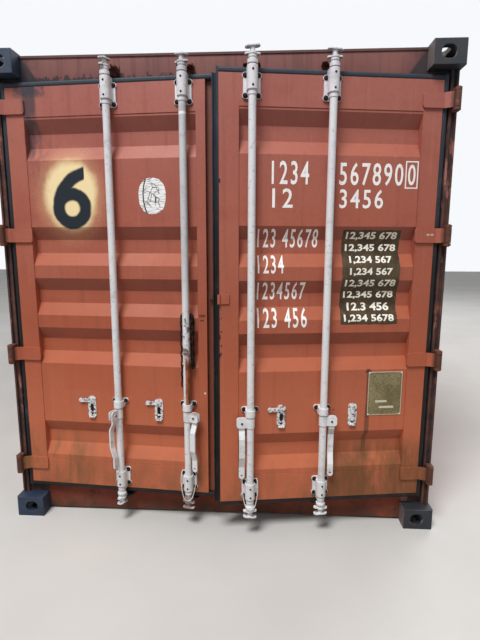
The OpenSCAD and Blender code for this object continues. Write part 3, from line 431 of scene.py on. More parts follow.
def weathered_zinc(name, side=0, rusty=False, chipped=False):
    """Off-white paint over galvanised steel, scuffed and with rust where it has gone, and painted shade
    on faces that face down.
    """
    s = Shade(name, side)
    color = s.mix(s.span(s.z, 0.6, 2.3, kind="LINEAR"), "EEF0F3", "DDDDE5")
    cloud = s.spots(0.36, 0.7, 7.0, 5.0, 0.65, stretch=(1, 1, 0.5))
    color = s.layer(color, cloud, 0.5, "F4F3F1")
    grime_and_shade = s.spots(0.5, 0.75, 15.0, 6.0, 0.7, shift=(1, 2, 3))
    color = s.layer(color, grime_and_shade, 0.45, "8C8586")
    # Painted shade on faces that face down.
    color = s.layer(color, s.span(s.facing(2), -0.2, -0.8), 0.6, "4A4547")
    speck = s.spots(0.6, 0.72, 95.0, 4.0, 0.7)
    color = s.layer(color, speck, 0.55, "6E605C")
    worn = s.times(s.edges(0.0035), s.spots(0.46, 0.62, 24.0, 5.0, 0.65, shift=(4, 4, 2)))
    color = s.layer(color, worn, 0.75, "6B5A54")
    blot = s.spots(0.58, 0.68, 38.0, 5.0, 0.7, shift=(6, 6, 1))
    color = s.layer(color, blot, 0.5, "8F8B88")
    rust = s.spots(0.66, 0.74, 11.0, 8.0, 0.72, shift=(8, 0, 2))
    if rusty:
        color, rust = bar_rust(s, color, rust)
    if chipped:
        rust = s.most(rust, s.spots(0.52, 0.57, 64.0, 6.0, 0.72, shift=(3, 1, 8)))
    color = s.layer(color, rust, 0.9, s.mix(s.noise(40.0), "3A2620", "6A4030"))
    rough = s.span(s.most(rust, grime_and_shade), 0.0, 1.0, 0.42, 0.75)
    height = s.add(s.times(s.noise(60.0, 4.0, 0.6), 0.5), s.times(rust, -0.5))
    return s.finish(color, rough, height, bump=0.4, depth=0.0012, round_edge=0.0025)


def rubber(name, side=0):
    """Black rubber, greyer towards the top, scuffed and dusty."""
    s = Shade(name, side)
    grey = s.span(s.add(s.z, s.times(s.noise(5.0, 4.0), 0.5)), 1.7, 2.7)
    color = s.mix(grey, "110F12", "2E3640")
    scuff = s.spots(0.54, 0.76, 12.0, 6.0, 0.7, stretch=(1, 1, 0.4))
    color = s.layer(color, scuff, 0.4, "59636D")
    dust = s.spots(0.55, 0.8, 6.0, 4.0, 0.6, shift=(3, 3, 3))
    color = s.layer(color, dust, 0.3, "5A4840")
    height = s.add(s.noise(30.0, 4.0), s.times(s.noise(150.0, 2.0), 0.3))
    foot = s.times(s.span(s.z, 0.32, 0.17), s.spots(0.3, 0.6, 14.0, 5.0, 0.7))
    color = s.layer(color, foot, 0.6, "2E231C")
    return s.finish(color, 0.58, height, bump=0.35, depth=0.002, round_edge=0.004, specular=0.3)


def rusty_steel(name, dark=False):
    """Bare steel gone to rust, or nearly black for bolts and the chain."""
    s = Shade(name)
    color = s.mix(s.spots(0.34, 0.68, 6.0, 7.0, 0.68), "3A2620", "75452F")
    bright = s.spots(0.56, 0.74, 19.0, 6.0, 0.7, shift=(2, 1, 4))
    color = s.layer(color, bright, 0.65, "9B5B38")
    left = s.spots(0.46, 0.62, 2.6, 5.0, 0.6, shift=(7, 7, 1))
    color = s.layer(color, left, 0.55, "7F4638")
    if dark:
        color = s.mix(s.span(s.noise(30.0, 4.0, 0.6), 0.5, 0.7, 0.95, 0.72), color, "0A0909")
    rough = s.span(bright, 0.0, 1.0, 0.72, 0.9)
    height = s.add(s.noise(34.0, 7.0, 0.72), s.times(s.noise(8.0, 5.0), 0.7))
    specular = 0.25 if dark else 0.5
    return s.finish(color, rough, height, bump=0.5, depth=0.003, round_edge=0.002, specular=specular)


def sill_paint():
    """Dark red-brown paint under the doors, with mud splashed along its foot."""
    s = Shade("sill_paint")
    color = s.mix(s.spots(0.34, 0.68, 5.0, 6.0, 0.65), "76362A", "944C3A")
    color, spots = rust_layer(s, color, 0.5, 12.0)
    mud = s.times(s.span(s.z, 0.12, 0.02), s.spots(0.3, 0.6, 12.0, 6.0, 0.7))
    color = s.layer(color, mud, 0.75, "4C3E30")
    height = s.add(s.noise(30.0, 6.0, 0.7), spots)
    return s.finish(color, 0.7, height, bump=0.5, depth=0.003, round_edge=0.003, specular=0.3)


def post_paint():
    """Door posts: rust with what is left of peeling pinkish paint, and painted shade at their top front
    under the castings.
    """
    s = Shade("post_paint")
    rust = s.mix(s.spots(0.34, 0.66, 9.0, 7.0, 0.7), "2A1E21", "5C3A30")
    front = s.span(s.x, 2.9, 2.94)
    peel = s.noise(12.0, 8.0, 0.7, stretch=(1, 1, 0.35))
    peel_low = s.span(front, 0.0, 1.0, 0.40, 0.55)
    peel_high = s.span(front, 0.0, 1.0, 0.43, 0.60)
    kept = s.span(peel, peel_low, peel_high)
    paint = s.mix(s.spots(0.35, 0.7, 3.0, 4.0), "8E5245", "9C6C62")
    color = s.mix(kept, rust, paint)
    # Painted shade: dark at the top of the posts' front, under the castings.
    color = s.mix(s.times(front, s.span(s.z, 2.36, 2.44, 0.0, 0.85)), color, "1E222A")
    rough = s.span(kept, 0.0, 1.0, 0.85, 0.6)
    height = s.add(s.times(kept, 0.8), s.noise(40.0, 6.0, 0.7))
    return s.finish(color, rough, height, bump=0.5, depth=0.002, round_edge=0.003)


def floor_wood():
    """Scuffed plywood boards with their grain along the container."""
    s = Shade("floor_wood")
    grain = s.noise(5.0, 6.0, 0.62, stretch=(0.25, 9, 1), warp=0.6)
    color = s.mix(s.span(grain, 0.32, 0.7), "6E4E31", "A17C50")
    scuff = s.spots(0.5, 0.7, 3.0, 7.0, 0.7, stretch=(1, 1.6, 1))
    color = s.layer(color, scuff, 0.5, "4D3A2A")
    return s.finish(color, 0.7, grain, bump=0.3, depth=0.001)


def plate_metal():
    """Dull brass of the data plate, with a pale rim, two pale strips and four rivets."""
    s = Shade("plate_metal", 1)
    color = s.mix(s.spots(0.35, 0.65, 9.0, 5.0, 0.65), "786C48", "988C66")
    etched = s.spots(0.48, 0.60, 60.0, 4.0, 0.7, stretch=(1, 1, 3.5))
    color = s.layer(color, etched, 0.6, "453D26")
    rim = s.minus(1.0, s.patch(0.828, 1.011, 0.678, 0.917, 0.001))
    color = s.layer(color, rim, 0.8, "D8D0BC")
    for y0, y1, z0, z1 in ((0.869, 0.932, 0.747, 0.757), (0.891, 0.972, 0.713, 0.724)):
        color = s.layer(color, s.patch(y0, y1, z0, z1, 0.002), 0.9, "E2DAC4")
    for y in (0.829, 1.010):
        for z in (0.679, 0.916):
            color = s.mix(s.span(s.distance(y, z), 0.006, 0.004), color, "E6E2D8")
    color, spots = rust_layer(s, color, 0.2, 22.0)
    height = s.add(etched, spots)
    return s.finish(color, 0.5, height, bump=0.25, depth=0.0008, round_edge=0.001, metal=0.15)


def plain_marking(name, tone):
    """Old marking paint or film on the right door, chipped through in places."""
    s = Shade(name, 1)
    dirt = s.spots(0.46, 0.76, 20.0, 6.0, 0.7)
    color = s.mix(s.times(dirt, 0.25), tone, "B98A78")
    color = s.mix(s.spots(0.69, 0.73, 75.0, 6.0, 0.7, shift=(1, 9, 2)), color, "9E5A48")
    return s.finish(color, 0.6, s.noise(80.0), bump=0.15, depth=0.0006, specular=0.3)


def cracked_film():
    """White film of the oval sticker, with cracks and a curved fold."""
    s = Shade("cracked_film", -1)
    bend = s.jitter(0.05, 60.0, 3.0)
    broad = s.add(s.cell_edges(27.0, shift=(0.3, 0.1, 0.7)), bend)
    level = s.add(s.cell_edges(20.0, (1, 0.8, 3.4), (0.6, 0.2, 0.1)), bend)
    middle = s.span(s.distance(-0.349, 1.862, 0.8), 0.060, 0.030)
    crack = s.most(s.times(s.span(broad, 0.050, 0.026), middle),
                   s.times(s.span(level, 0.050, 0.020), 0.75))
    from_curve = s.math("ABSOLUTE", s.minus(s.distance(-0.30, 1.862, 0.62), 0.098))
    fold = s.times(s.span(from_curve, 0.0045, 0.0025), s.span(s.y, -0.36, -0.38))
    color = s.mix(s.times(s.noise(12.0), 0.2), "FFFFFF", "D9D4CE")
    color = s.mix(s.most(crack, fold), color, "2C2A2C")
    return s.finish(color, 0.5, s.minus(1.0, crack), bump=0.4, depth=0.0006)


def patch_film():
    """Dark film behind the table of figures, worn through to the paint in places."""
    s = Shade("patch_film", 1)
    color = s.mix(s.spots(0.35, 0.7, 11.0, 6.0, 0.7), "3A2E20", "564630")
    worn = s.spots(0.56, 0.66, 34.0, 7.0, 0.72, shift=(2, 2, 2))
    color = s.layer(color, worn, 0.6, "86684A")
    return s.finish(color, 0.62, s.noise(50.0), bump=0.2, depth=0.0008, specular=0.3)


PAINTS = {
    "red_paint": red_paint("red_paint"),
    "header_paint": header_paint(),
    "casting_paint": casting_paint(),
    "rusty_steel": rusty_steel("rusty_steel"),
    "galvanised": weathered_zinc("zinc_frame"),
    "black_rubber": rubber("rubber_frame"),
    "black_plastic": rubber("vent_plastic"),
    "floor_wood": floor_wood(),
    "plate_brass": plate_metal(),
    "post_paint": post_paint(),
    "sill_paint": sill_paint(),
}
for side, name in SIDES:
    marks = left_door_marks if side < 0 else right_door_marks
    PAINTS[name + "_red"] = red_paint(name + "_door_red", side, 0.08, marks)
    PAINTS[name + "_zinc"] = weathered_zinc(name + "_door_zinc", side)
    PAINTS[name + "_rubber"] = rubber(name + "_door_rubber", side)
    PAINTS[name + "_chipped"] = weathered_zinc(name + "_chipped_zinc", side, chipped=True)
PAINTS["rusty_bar"] = weathered_zinc("rusty_bar_zinc", -1, rusty=True)
PAINTS["bolt_black"] = rusty_steel("bolt_black", dark=True)

slot_of = {row["node"]: row["material_slot"] for row in frame["record"]["subparts"]}


def paint_for(node_name):
    """The material of a CAD node, from its slot and the body that it is on."""
    slot_name = slot_of[node_name]
    side = node_name.split("_")[0]
    if node_name in ("door_posts", "corner_plates"):
        return PAINTS["post_paint"]
    if node_name == "door_sill":
        return PAINTS["sill_paint"]
    if node_name.endswith(("_hook", "_catches")):
        return PAINTS[side + "_chipped"]
    if node_name == "left_inner_bar":
        return PAINTS["rusty_bar"]
    on_leaf = side in ("left", "right") and not node_name.endswith("wall")
    short = {"red_paint": "_red", "galvanised": "_zinc", "black_rubber": "_rubber"}.get(slot_name)
    if on_leaf and short:
        return PAINTS[side + short]
    return PAINTS[slot_name]


for node_name, made in nodes.items():
    if not made.material_slots:
        made.data.materials.append(paint_for(node_name))
    for material_slot in made.material_slots:
        material_slot.material = paint_for(node_name)


# Places on the doors

def on_door(side):
    """Moves points from the closed door, in the row frame, to where the door stands at rest."""
    pin = Matrix.Translation((PIN_X, side * PIN_Y, 0))
    return pin @ Matrix.Rotation(math.radians(side * AJAR[side]), 4, "Z") @ pin.inverted()


def bar_frame(side, inner):
    """Axes of a turned bar at its axis: X outward and Y towards the hinge when it is locked."""
    turn = math.radians(-side * BAR_TURN[(side, inner)])
    return (on_door(side) @ Matrix.Translation((BAR_X, side * BAR_Y[inner], 0))
            @ Matrix.Rotation(turn, 4, "Z") @ Matrix.Diagonal((1, side, 1, 1)))


def panel_depth(z):
    """How far the door sheet lies behind its outer flats at a height."""
    for place in RECESS_PLACES:
        away = abs(z - RECESS_Z - place * RECESS_PITCH) - RECESS_FLAT / 2
        if away < RECESS_SLOPE:
            return RECESS_DEPTH * min(1, 1 - away / RECESS_SLOPE)
    return 0.0


def panel_breaks():
    """Heights at which the door sheet bends."""
    flat = RECESS_FLAT / 2
    for place in RECESS_PLACES:
        for step in (-flat - RECESS_SLOPE, -flat, flat, flat + RECESS_SLOPE):
            yield RECESS_Z + place * RECESS_PITCH + step


def add_piece(name, bm, material, body, smooth_angle=35):
    """Makes one piece of a finished mesh that rides on a body."""
    bmesh.ops.recalc_face_normals(bm, faces=bm.faces)
    mesh = bpy.data.meshes.new(name)
    bm.to_mesh(mesh)
    bm.free()
    mesh.materials.append(material)
    mesh.shade_smooth()
    mesh.set_sharp_from_angle(angle=math.radians(smooth_angle))
    made = bpy.data.objects.new(name, mesh)
    bpy.context.scene.collection.objects.link(made)
    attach(made, body)
    return made


def ring(bm, points):
    """New vertices at the points."""
    return [bm.verts.new(p) for p in points]


def bridge(bm, first, second):
    """Faces between two rings with as many vertices."""
    count = len(first)
    for i in range(count):
        j = (i + 1) % count
        bm.faces.new((first[i], first[j], second[j], second[i]))


def skin(bm, rings):
    """Side faces between rings, one after another, and a flat face at each end."""
    for first, second in zip(rings, rings[1:]):
        bridge(bm, first, second)
    bm.faces.new(rings[0][::-1])
    bm.faces.new(rings[-1])


def lathe(bm, matrix, outline, sides):
    """Solid turned about local X from (along, radius) pairs, closed by a flat face at each end."""
    rings = []
    for along, radius in outline:
        angles = [2 * math.pi * i / sides for i in range(sides)]
        rings.append(ring(bm, [matrix @ Vector((along, radius * math.cos(a), radius * math.sin(a)))
                               for a in angles]))
    skin(bm, rings)


def tube(bm, points, radius, closed=False, sides=8):
    """Round tube along points, joined end to end if it is closed."""
    count = len(points)
    rings = []
    normal = None
    for i, point in enumerate(points):
        before = points[(i - 1) % count] if closed or i else point
        after = points[(i + 1) % count] if closed or i < count - 1 else point
        along = (after - before).normalized()
        if normal is None:
            normal = along.orthogonal().normalized()
        normal = (normal - along * normal.dot(along)).normalized()
        across = along.cross(normal)
        rings.append(ring(bm, [point + radius * (normal * math.cos(a) + across * math.sin(a))
                               for a in (2 * math.pi * k / sides for k in range(sides))]))
    if not closed:
        skin(bm, rings)
        return
    for first, second in zip(rings, rings[1:]):
        bridge(bm, first, second)
    nearest = min(range(sides), key=lambda k: (rings[-1][0].co - rings[0][k].co).length)
    bridge(bm, rings[-1], rings[0][nearest:] + rings[0][:nearest])


def prism(bm, matrix, corners, low, high):
    """Straight solid over a flat outline of (y, z) corners, from x = low to x = high."""
    skin(bm, [ring(bm, [matrix @ Vector((x, y, z)) for y, z in corners]) for x in (low, high)])


# Bolts, pins and seal wires. Outlines give height over the seat and radius.

BOLT = ((0, 0.0125), (0.002, 0.0125), (0.002, 0.0095), (0.0055, 0.0085), (0.0075, 0.005))
RIVET = ((0, 0.0055), (0.002, 0.005), (0.0032, 0.003))
PIN_END = ((0, 0.0062), (0.0012, 0.0060), (0.0022, 0.0035))


def bracket_bolts_and_slot_shades(side, name):
    """Bolts at the corners of each bar bracket, and rivets on its cap; the bolts' mesh also holds the
    painted shade behind each handle catch.
    """
    leaf_x = -0.034
    plate_x = leaf_x + 0.008
    guide_x = leaf_x + 0.007
    bolt_y = 0.0325
    guide_bolt_y = 0.033
    guide_bolt_z = GUIDE_Z + 0.014
    end_to_bolt = 0.015
    cap_x = 0.0257
    guide_rivet = (-0.027, 0, GUIDE_Z - 0.020)
    brackets = ((BRACKET_TOP_Z, 0.122), (BRACKET_LOW_Z, 0.112))
    cap_rivets = (BRACKET_TOP_Z + 0.058, BRACKET_TOP_Z - 0.012, BRACKET_LOW_Z + 0.020,
                  BRACKET_LOW_Z - 0.030)
    bolts = bmesh.new()
    rivets = bmesh.new()
    for inner, _ in INNERS:
        place = on_door(side) @ Matrix.Translation((BAR_X, side * BAR_Y[inner], 0))
        for middle, tall in brackets:
            reach = tall / 2 - end_to_bolt
            for y in (-bolt_y, bolt_y):
                for z in (middle - reach, middle + reach):
                    lathe(bolts, place @ Matrix.Translation((plate_x, y, z)), BOLT, 12)
        for y in (-guide_bolt_y, guide_bolt_y):
            lathe(bolts, place @ Matrix.Translation((guide_x, y, guide_bolt_z)), BOLT, 12)
        for z in cap_rivets:
            lathe(rivets, place @ Matrix.Translation((cap_x, 0, z)), RIVET, 10)
        lathe(rivets, place @ Matrix.Translation(guide_rivet), RIVET, 10)
    # Painted shade behind each handle catch, in the bolts' mesh.
    catch_slot_shades(bolts, side)
    add_piece(name + "_bracket_bolts", bolts, PAINTS["bolt_black"], name + "_door")
    add_piece(name + "_bracket_rivets", rivets, PAINTS["bolt_black"], name + "_door")


def catch_slot_shades(bm, side):
    """Painted shade: dark films on the door, a slot and a wedge, that show through each handle catch."""
    round_r = 0.0102
    round_z = 0.0125
    slot_z = -0.004
    thick = 0.002
    wedge = ((-0.013, -0.0335), (0.013, -0.0335), (0.0, -0.0505))
    slot = []
    for i in range(16):
        a = math.pi * i / 8
        end_z = round_z if a < math.pi else -round_z
        slot.append((round_r * math.cos(a), end_z + round_r * math.sin(a) + slot_z))
    for inner, _ in INNERS:
        middle_y = side * (BAR_Y[inner] + CATCH_OFFSET)
        place = on_door(side) @ Matrix.Translation((PANEL_X, middle_y, CATCH_Z))
        prism(bm, place, slot, FILM_LIFT, FILM_LIFT + thick)
        prism(bm, place, wedge, FILM_LIFT, FILM_LIFT + thick)


def handle_pins(side, inner, name):
    """Dark ends of the pin that carries a handle, on both cheeks of its fork."""
    cheek_x = 0.015
    pin_y = 0.046
    bm = bmesh.new()
    for end in (1, -1):
        place = bar_frame(side, inner) @ Matrix.Translation((end * cheek_x, pin_y, HANDLE_Z))
        lathe(bm, place @ Matrix.Diagonal((end, 1, 1, 1)), PIN_END, 12)
    add_piece(name + "_handle_pin", bm, PAINTS["bolt_black"], name + "_bar")


def seal_wires(side, name):
    """Wire looped from the top corners of an inner lower bracket down round the bar's collar."""
    wire_r = 0.0021
    half = [(-0.024, 0.038, 0.334), (-0.006, 0.043, 0.314), (0.004, 0.043, 0.270),
            (0.014, 0.035, 0.222), (0.020, 0.026, 0.190), (0.027, 0.014, 0.176)]
    foot = (0.030, 0.0, 0.173)
    route = half + [foot] + [(x, -y, z) for x, y, z in reversed(half)]
    bm = bmesh.new()
    place = on_door(side) @ Matrix.Translation((BAR_X, side * BAR_Y[True], 0))
    tube(bm, [place @ Vector(p) for p in route], wire_r)
    add_piece(name + "_seal_wire", bm, PAINTS[name + "_zinc"], name + "_door", 60)


# Chain of round wire, with links as in the model but of thicker wire

LINK_WIRE = 0.006
LINK_WIDE = 0.0215
LINK_INSIDE = 0.028
LINK_PITCH = 0.0283
DRAWN_WIRE_R = 0.0036


def add_link(bm, matrix):
    """One link, long along Z and flat in the YZ plane."""
    bend = (LINK_WIDE - LINK_WIRE) / 2
    straight = (LINK_INSIDE + LINK_WIRE) / 2 - bend
    steps = 6
    points = []
    for end in (1, -1):
        for i in range(steps + 1):
            a = math.pi * i / steps
            points.append(matrix @ Vector((0, end * bend * math.cos(a),
                                           end * (straight + bend * math.sin(a)))))
    tube(bm, points, DRAWN_WIRE_R, True)


def lock_chain():
    """One strand on the bar's hinge side and two on its free side, joined behind it and below."""
    top_z = 1.226
    wall_x = -0.0368
    hang = 0.00972
    gap = 0.001
    bar_r = 0.019
    strand_y = bar_r + gap + hang
    back_x = wall_x + hang
    front_x = back_x + 2 * hang + gap
    flat_x = wall_x + 0.0081
    long_strand = 14
    short_strand = 10
    hang_turn = 45
    flat_turn = 31
    sway = 0.12
    quarter = math.pi / 2
    base = (on_door(-1) @ Matrix.Translation((BAR_X, -BAR_Y[True], top_z))
            @ Matrix.Diagonal((1, -1, 1, 1)))
    bm = bmesh.new()
    rng = random.Random(4)
    for x, y, count in ((back_x, strand_y, long_strand), (back_x, -strand_y, short_strand),
                        (front_x, -strand_y, short_strand)):
        for i in range(count):
            turn = math.radians(hang_turn if i % 2 == 0 else -hang_turn) + rng.uniform(-sway, sway)
            spot = Matrix.Translation((x, y, -LINK_PITCH * (i + 0.5))) @ Matrix.Rotation(turn, 4, "Z")
            add_link(bm, base @ spot)
    for i in (0, 1):
        turn = math.radians(flat_turn if i == 0 else -flat_turn)
        spot = Matrix.Translation((flat_x, (i - 0.5) * LINK_PITCH, 0))
        add_link(bm, base @ spot @ Matrix.Rotation(quarter, 4, "X") @ Matrix.Rotation(turn, 4, "Z"))
    spot = Matrix.Translation(((back_x + front_x) / 2, -strand_y, -LINK_PITCH * short_strand))
    turned = Matrix.Rotation(quarter, 4, "Y") @ Matrix.Rotation(math.radians(hang_turn), 4, "Z")
    add_link(bm, base @ spot @ turned)
    made = add_piece("hanging_chain", bm, PAINTS["bolt_black"], "left_door", 60)
    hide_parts("lock_chain")


# Rubber lip between the doors

def centre_seal():
    """Lip on the right door's free edge, curled outward where it would meet the left door."""
    half = 0.0025
    wave = 0.0012
    uneven = 0.0008
    base = [(-0.050, 0.004), (-0.050, -0.012)]
    curl = [(-0.048, -0.0165), (-0.044, -0.0195), (-0.040, -0.0205)]
    outline = [(x + half, y) for x, y in base] + [(x + half, y + half) for x, y in curl]
    outline += [(x - half, y - half) for x, y in reversed(curl)]
    outline += [(x - half, y) for x, y in reversed(base)]
    free_y = -0.012
    steps = 46
    rng = random.Random(8)
    bm = bmesh.new()
    place = on_door(1) @ Matrix.Translation((PIN_X, 0, 0))
    rings = []
    for i in range(steps + 1):
        z = SEAL_LOW_Z + (SEAL_TOP_Z - SEAL_LOW_Z) * i / steps
        sway = wave * math.sin(i * 1.3) + rng.uniform(-uneven, uneven)
        swayed = [(x + sway, y - abs(sway)) if y < free_y else (x, y) for x, y in outline]
        rings.append(ring(bm, [place @ Vector((x, y, z)) for x, y in swayed]))
    skin(bm, rings)
    add_piece("centre_seal", bm, PAINTS["right_rubber"], "right_door", 50)


# Numbers, decal and sticker on the door sheets

def flat_text(text, width, height, bold, spacing=1.0):
    """Mesh of a line of figures along X and Y, of a width and a height, as thick as a film."""
    curve = bpy.data.curves.new("figures", "FONT")
    curve.space_character = spacing
    curve.body = text
    curve.extrude = 0.02
    curve.offset = bold
    curve.resolution_u = 3
    holder = bpy.data.objects.new("figures", curve)
    bpy.context.scene.collection.objects.link(holder)
    bpy.context.view_layer.update()
    graph = bpy.context.evaluated_depsgraph_get()
    mesh = bpy.data.meshes.new_from_object(holder.evaluated_get(graph))
    bm = bmesh.new()
    bm.from_mesh(mesh)
    bpy.data.objects.remove(holder)
    bpy.data.curves.remove(curve)
    bpy.data.meshes.remove(mesh)
    bmesh.ops.remove_doubles(bm, verts=bm.verts, dist=WELD)
    low = [min(v.co[i] for v in bm.verts) for i in (0, 1)]
    high = [max(v.co[i] for v in bm.verts) for i in (0, 1)]
    for v in bm.verts:
        v.co.x = (v.co.x - low[0]) / (high[0] - low[0]) * width
        v.co.y = (v.co.y - low[1]) / (high[1] - low[1]) * height
        v.co.z = FILM_T if v.co.z > 0 else 0.0
    return bm


def drape(bm, y, z, lift=FILM_LIFT):
    """Lays a mesh drawn flat (X right, Y up, Z outward) on the right door's sheet, bent as it is."""
    for v in bm.verts:
        v.co = Vector((v.co.z, y + v.co.x, z + v.co.y))
    for height in panel_breaks():
        everything = bm.verts[:] + bm.edges[:] + bm.faces[:]
        bmesh.ops.bisect_plane(bm, geom=everything, dist=1e-6, plane_co=(0, 0, height),
                               plane_no=(0, 0, 1))
    for v in bm.verts:
        v.co.x += PANEL_X + lift - panel_depth(v.co.z)
    bm.transform(on_door(1))


def merged(meshes):
    """One mesh of several, which are used up."""
    whole = bmesh.new()
    for part in meshes:
        mesh = bpy.data.meshes.new("part")
        part.to_mesh(mesh)
        part.free()
        whole.from_mesh(mesh)
        bpy.data.meshes.remove(mesh)
    return whole


def painted_numbers():
    """Plain figures where the photographed container has its lettering."""
    bold = 0.010
    spacing = 1.22
    # Text, left end, width, foot and height
    rows = (
        ("1234", 0.274, 0.190, 1.904, 0.114),
        ("567890", 0.620, 0.335, 1.904, 0.112),
        ("0", 0.980, 0.040, 1.908, 0.104),
        ("12", 0.278, 0.105, 1.790, 0.095),
        ("3456", 0.625, 0.230, 1.790, 0.095),
        ("123 45678", 0.208, 0.317, 1.590, 0.096),
        ("1234", 0.208, 0.136, 1.457, 0.094),
        ("1234567", 0.208, 0.255, 1.318, 0.095),
        ("123 456", 0.208, 0.264, 1.171, 0.104),
    )
    parts = []
    for text, y, width, z, height in rows:
        bm = flat_text(text, width, height, bold, spacing)
        drape(bm, y, z)
        parts.append(bm)
    left, right = 0.966, 1.034
    foot, top = 1.892, 2.028
    line = 0.006
    bars = ((left, right, foot, foot + line), (left, right, top - line, top),
            (left, left + line, foot + line, top - line), (right - line, right, foot + line, top - line))
    place = on_door(1) @ Matrix.Translation((PANEL_X + FILM_LIFT, 0, 0))
    frame_line = bmesh.new()
    for y0, y1, z0, z1 in bars:
        prism(frame_line, place, ((y0, z0), (y1, z0), (y1, z1), (y0, z1)), 0, FILM_T)
    parts.append(frame_line)
    white = plain_marking("white_marking", "FFFFFF")
    add_piece("painted_numbers", merged(parts), white, "right_door")


def decal():
    """Ragged dark patch with a table of plain figures."""
    left, right = 0.656, 0.967
    foot, top = 1.185, 1.682
    steps = 14
    ragged = 0.0022
    rng = random.Random(11)
    corners = ((left, foot), (right, foot), (right, top), (left, top))
    outline = []
    for (ya, za), (yb, zb) in zip(corners, corners[1:] + corners[:1]):
        for i in range(steps):
            t = i / steps
            outline.append((ya + (yb - ya) * t + rng.uniform(-ragged, ragged) - left,
                            za + (zb - za) * t + rng.uniform(-ragged, ragged) - foot))
    bm = bmesh.new()
    prism(bm, Matrix.Identity(4), outline, 0, FILM_T)
    for v in bm.verts:
        v.co = Vector((v.co.y, v.co.z, v.co.x))
    drape(bm, left, foot)
    add_piece("decal_patch", bm, patch_film(), "right_door")
    eight, seven = "12,345 678", "1,234 567"
    texts = (eight, eight, seven, seven, eight, eight, "12.3 456", "1,234 5678")
    long_w = 0.275
    short_w = 0.232
    tall = 0.043
    bold = 0.028
    row_foot = 0.010
    over_patch = 0.0007
    pitch = (top - foot) / len(texts)
    parts = []
    for i, text in enumerate(texts):
        width = long_w if len(text) > 9 else short_w
        bm = flat_text(text, width, tall, bold)
        drape(bm, (left + right) / 2 - width / 2, top - (i + 1) * pitch + row_foot, over_patch)
        parts.append(bm)
    pale = plain_marking("pale_marking", "FFFBEF")
    add_piece("decal_numbers", merged(parts), pale, "right_door")


def oval_sticker():
    """Oval film with an uneven edge on the left door."""
    mid_y, mid_z = -0.349, 1.858
    half_y, half_z = 0.074, 0.0925
    squarer = 0.85
    steps = 40
    thick = 0.0006
    rng = random.Random(3)
    corners = []
    for i in range(steps):
        a = 2 * math.pi * i / steps
        c = math.copysign(abs(math.cos(a)) ** squarer, math.cos(a))
        d = math.copysign(abs(math.sin(a)) ** squarer, math.sin(a))
        r = 1 + rng.uniform(-0.02, 0.015)
        corners.append((mid_y + half_y * r * c, mid_z + half_z * r * d))
    bm = bmesh.new()
    place = on_door(-1) @ Matrix.Translation((PANEL_X, 0, 0))
    prism(bm, place, corners, FILM_LIFT, FILM_LIFT + thick)
    add_piece("oval_sticker", bm, cracked_film(), "left_door")


# Front wall, seen from behind and through the open doors

def front_wall():
    """The model's front wall with its waves turned inward, to meet the header and the sill."""
    wall = nodes["front_wall"]
    bm = bmesh.new()
    bm.from_mesh(wall.data)
    bmesh.ops.remove_doubles(bm, verts=bm.verts, dist=WELD)
    mirrored = Matrix.Translation((2 * FRONT_WALL_X, 0, 0)) @ Matrix.Diagonal((-1, 1, 1, 1))
    bm.transform(mirrored @ wall.matrix_world)
    made = add_piece("front_wall_sheet", bm, PAINTS["red_paint"], BASE)
    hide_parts("front_wall")


def front_roof_edge():
    """Sloped strip that closes the step between the front header's plate and the roof sheet."""
    # Distance from the container's middle towards its front, and height
    outline = ((2.880, 2.568), (2.852, 2.585), (2.8505, 2.585), (2.8505, 2.582), (2.873, 2.568))
    bm = bmesh.new()
    prism(bm, Matrix.Rotation(math.pi / 2, 4, "Z"), outline, -CASTING_Y, CASTING_Y)
    add_piece("front_roof_edge", bm, PAINTS["red_paint"], BASE)


def front_sill_ends():
    """Plates on the castings that close the front face between the sill and the posts."""
    thick = 0.004
    low, high = CASTING_TOP_Z, SILL_TOP_Z
    bm = bmesh.new()
    for side, _ in SIDES:
        near, far = side * CASTING_Y, side * FRONT_POST_Y
        corners = ((near, low), (far, low), (far, high), (near, high))
        prism(bm, Matrix.Identity(4), corners, FRONT_WALL_X - thick, FRONT_WALL_X)
    add_piece("front_sill_ends", bm, PAINTS["red_paint"], BASE)


# Camera, floor and lights

def turned_pair(first, second, angle):
    """Two axes turned in their plane, the first towards the second."""
    angle = math.radians(angle)
    return (math.cos(angle) * first + math.sin(angle) * second,
            math.cos(angle) * second - math.sin(angle) * first)


def add_camera():
    """Camera at the photo's place, found by fitting the model's corners to it."""
    place = Vector((5.386, 0.244, 1.575))
    yaw, pitch, roll = -3.10, 8.97, 0.13
    ahead, right, up = Vector((-1, 0, 0)), Vector((0, 1, 0)), Vector((0, 0, 1))
    ahead, right = turned_pair(ahead, right, yaw)
    ahead, up = turned_pair(ahead, up, -pitch)
    right, up = turned_pair(right, up, roll)
    data = bpy.data.cameras.new("camera")
    data.sensor_fit = "VERTICAL"
    data.sensor_height = 36
    data.lens = 24.75
    data.clip_start = 0.05
    made = bpy.data.objects.new("camera", data)
    turned = Matrix((right, up, -ahead)).transposed().to_4x4()
    made.matrix_world = Matrix.Translation(place) @ turned
    bpy.context.scene.collection.objects.link(made)
    bpy.context.scene.camera = made


def seen_white(tree):
    """Factor that is 1 for what the camera, gloss and glass see, and 0 for light on the object."""
    path = add_node(tree, "ShaderNodeLightPath").outputs
    total = path["Is Camera Ray"]
    for name in ("Is Glossy Ray", "Is Transmission Ray"):
        inputs = {0: total, 1: path[name]}
        total = add_node(tree, "ShaderNodeMath", inputs, operation="MAXIMUM").outputs[0]
    return total


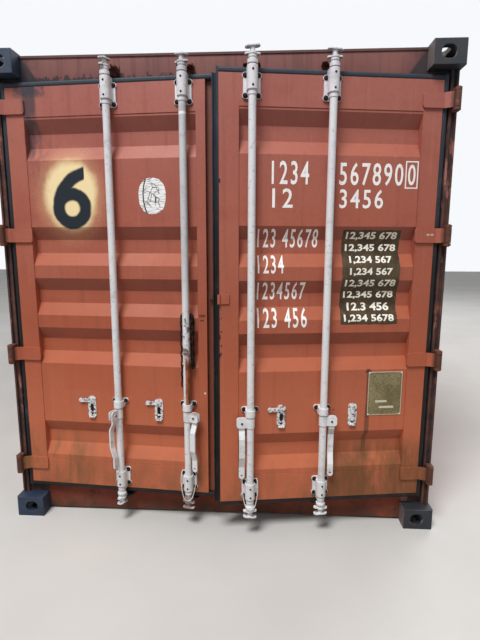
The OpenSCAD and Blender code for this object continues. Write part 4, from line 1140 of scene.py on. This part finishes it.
def add_world():
    """Pale background to look at, and a dimmer sky that lights the object."""
    seen_tone = (0.93, 0.95, 0.98, 1)
    light_tone = (0.95, 0.97, 1.0, 1)
    light_strength = 0.34
    world = bpy.data.worlds.new("studio")
    world.use_nodes = True
    tree = world.node_tree
    tree.nodes.clear()
    seen = add_node(tree, "ShaderNodeBackground", {"Color": seen_tone})
    light = add_node(tree, "ShaderNodeBackground", {"Color": light_tone, "Strength": light_strength})
    inputs = {0: seen_white(tree), 1: light.outputs[0], 2: seen.outputs[0]}
    mixed = add_node(tree, "ShaderNodeMixShader", inputs)
    add_node(tree, "ShaderNodeOutputWorld", {0: mixed.outputs[0]})
    bpy.context.scene.world = world


def add_floor():
    """Pale floor that keeps the object's shadow."""
    half = 30
    thick = 0.02
    bm = bmesh.new()
    corners = ((-half, -thick), (half, -thick), (half, 0), (-half, 0))
    prism(bm, Matrix.Identity(4), corners, -half, half)
    mesh = bpy.data.meshes.new("studio_floor")
    bm.to_mesh(mesh)
    bm.free()
    s = Shade("studio_floor")
    tone = s.mix(s.spots(0.3, 0.7, 0.8, 5.0), "CFCDC9", "D8D6D2")
    tone = s.mix(seen_white(s.tree), "9A9287", tone)
    mesh.materials.append(s.finish(tone, 0.85, specular=0.2))
    made = bpy.data.objects.new("studio_floor", mesh)
    bpy.context.scene.collection.objects.link(made)


def add_light(name, place, aim, size, power):
    """Round lamp, its size in metres and its power in watts, aimed at a point."""
    data = bpy.data.lights.new(name, "AREA")
    data.shape = "DISK"
    data.size = size
    data.energy = power
    made = bpy.data.objects.new(name, data)
    made.location = place
    made.rotation_euler = (Vector(aim) - Vector(place)).to_track_quat("-Z", "Y").to_euler()
    bpy.context.scene.collection.objects.link(made)


for side, name in SIDES:
    bracket_bolts_and_slot_shades(side, name)
    seal_wires(side, name)
    for inner, depth_name in INNERS:
        handle_pins(side, inner, name + "_" + depth_name)
lock_chain()
centre_seal()
front_wall()
front_roof_edge()
front_sill_ends()
painted_numbers()
decal()
oval_sticker()
add_camera()
add_world()
add_floor()
add_light("key", (8.0, -2.0, 10.0), (2.8, 0, 1.2), 4.0, 980)
add_light("far_side", (-5.0, 6.0, 9.0), (-1, 0, 1.2), 6.0, 500)
bpy.context.scene.view_settings.view_transform = "Standard"

bpy.context.view_layer.update()
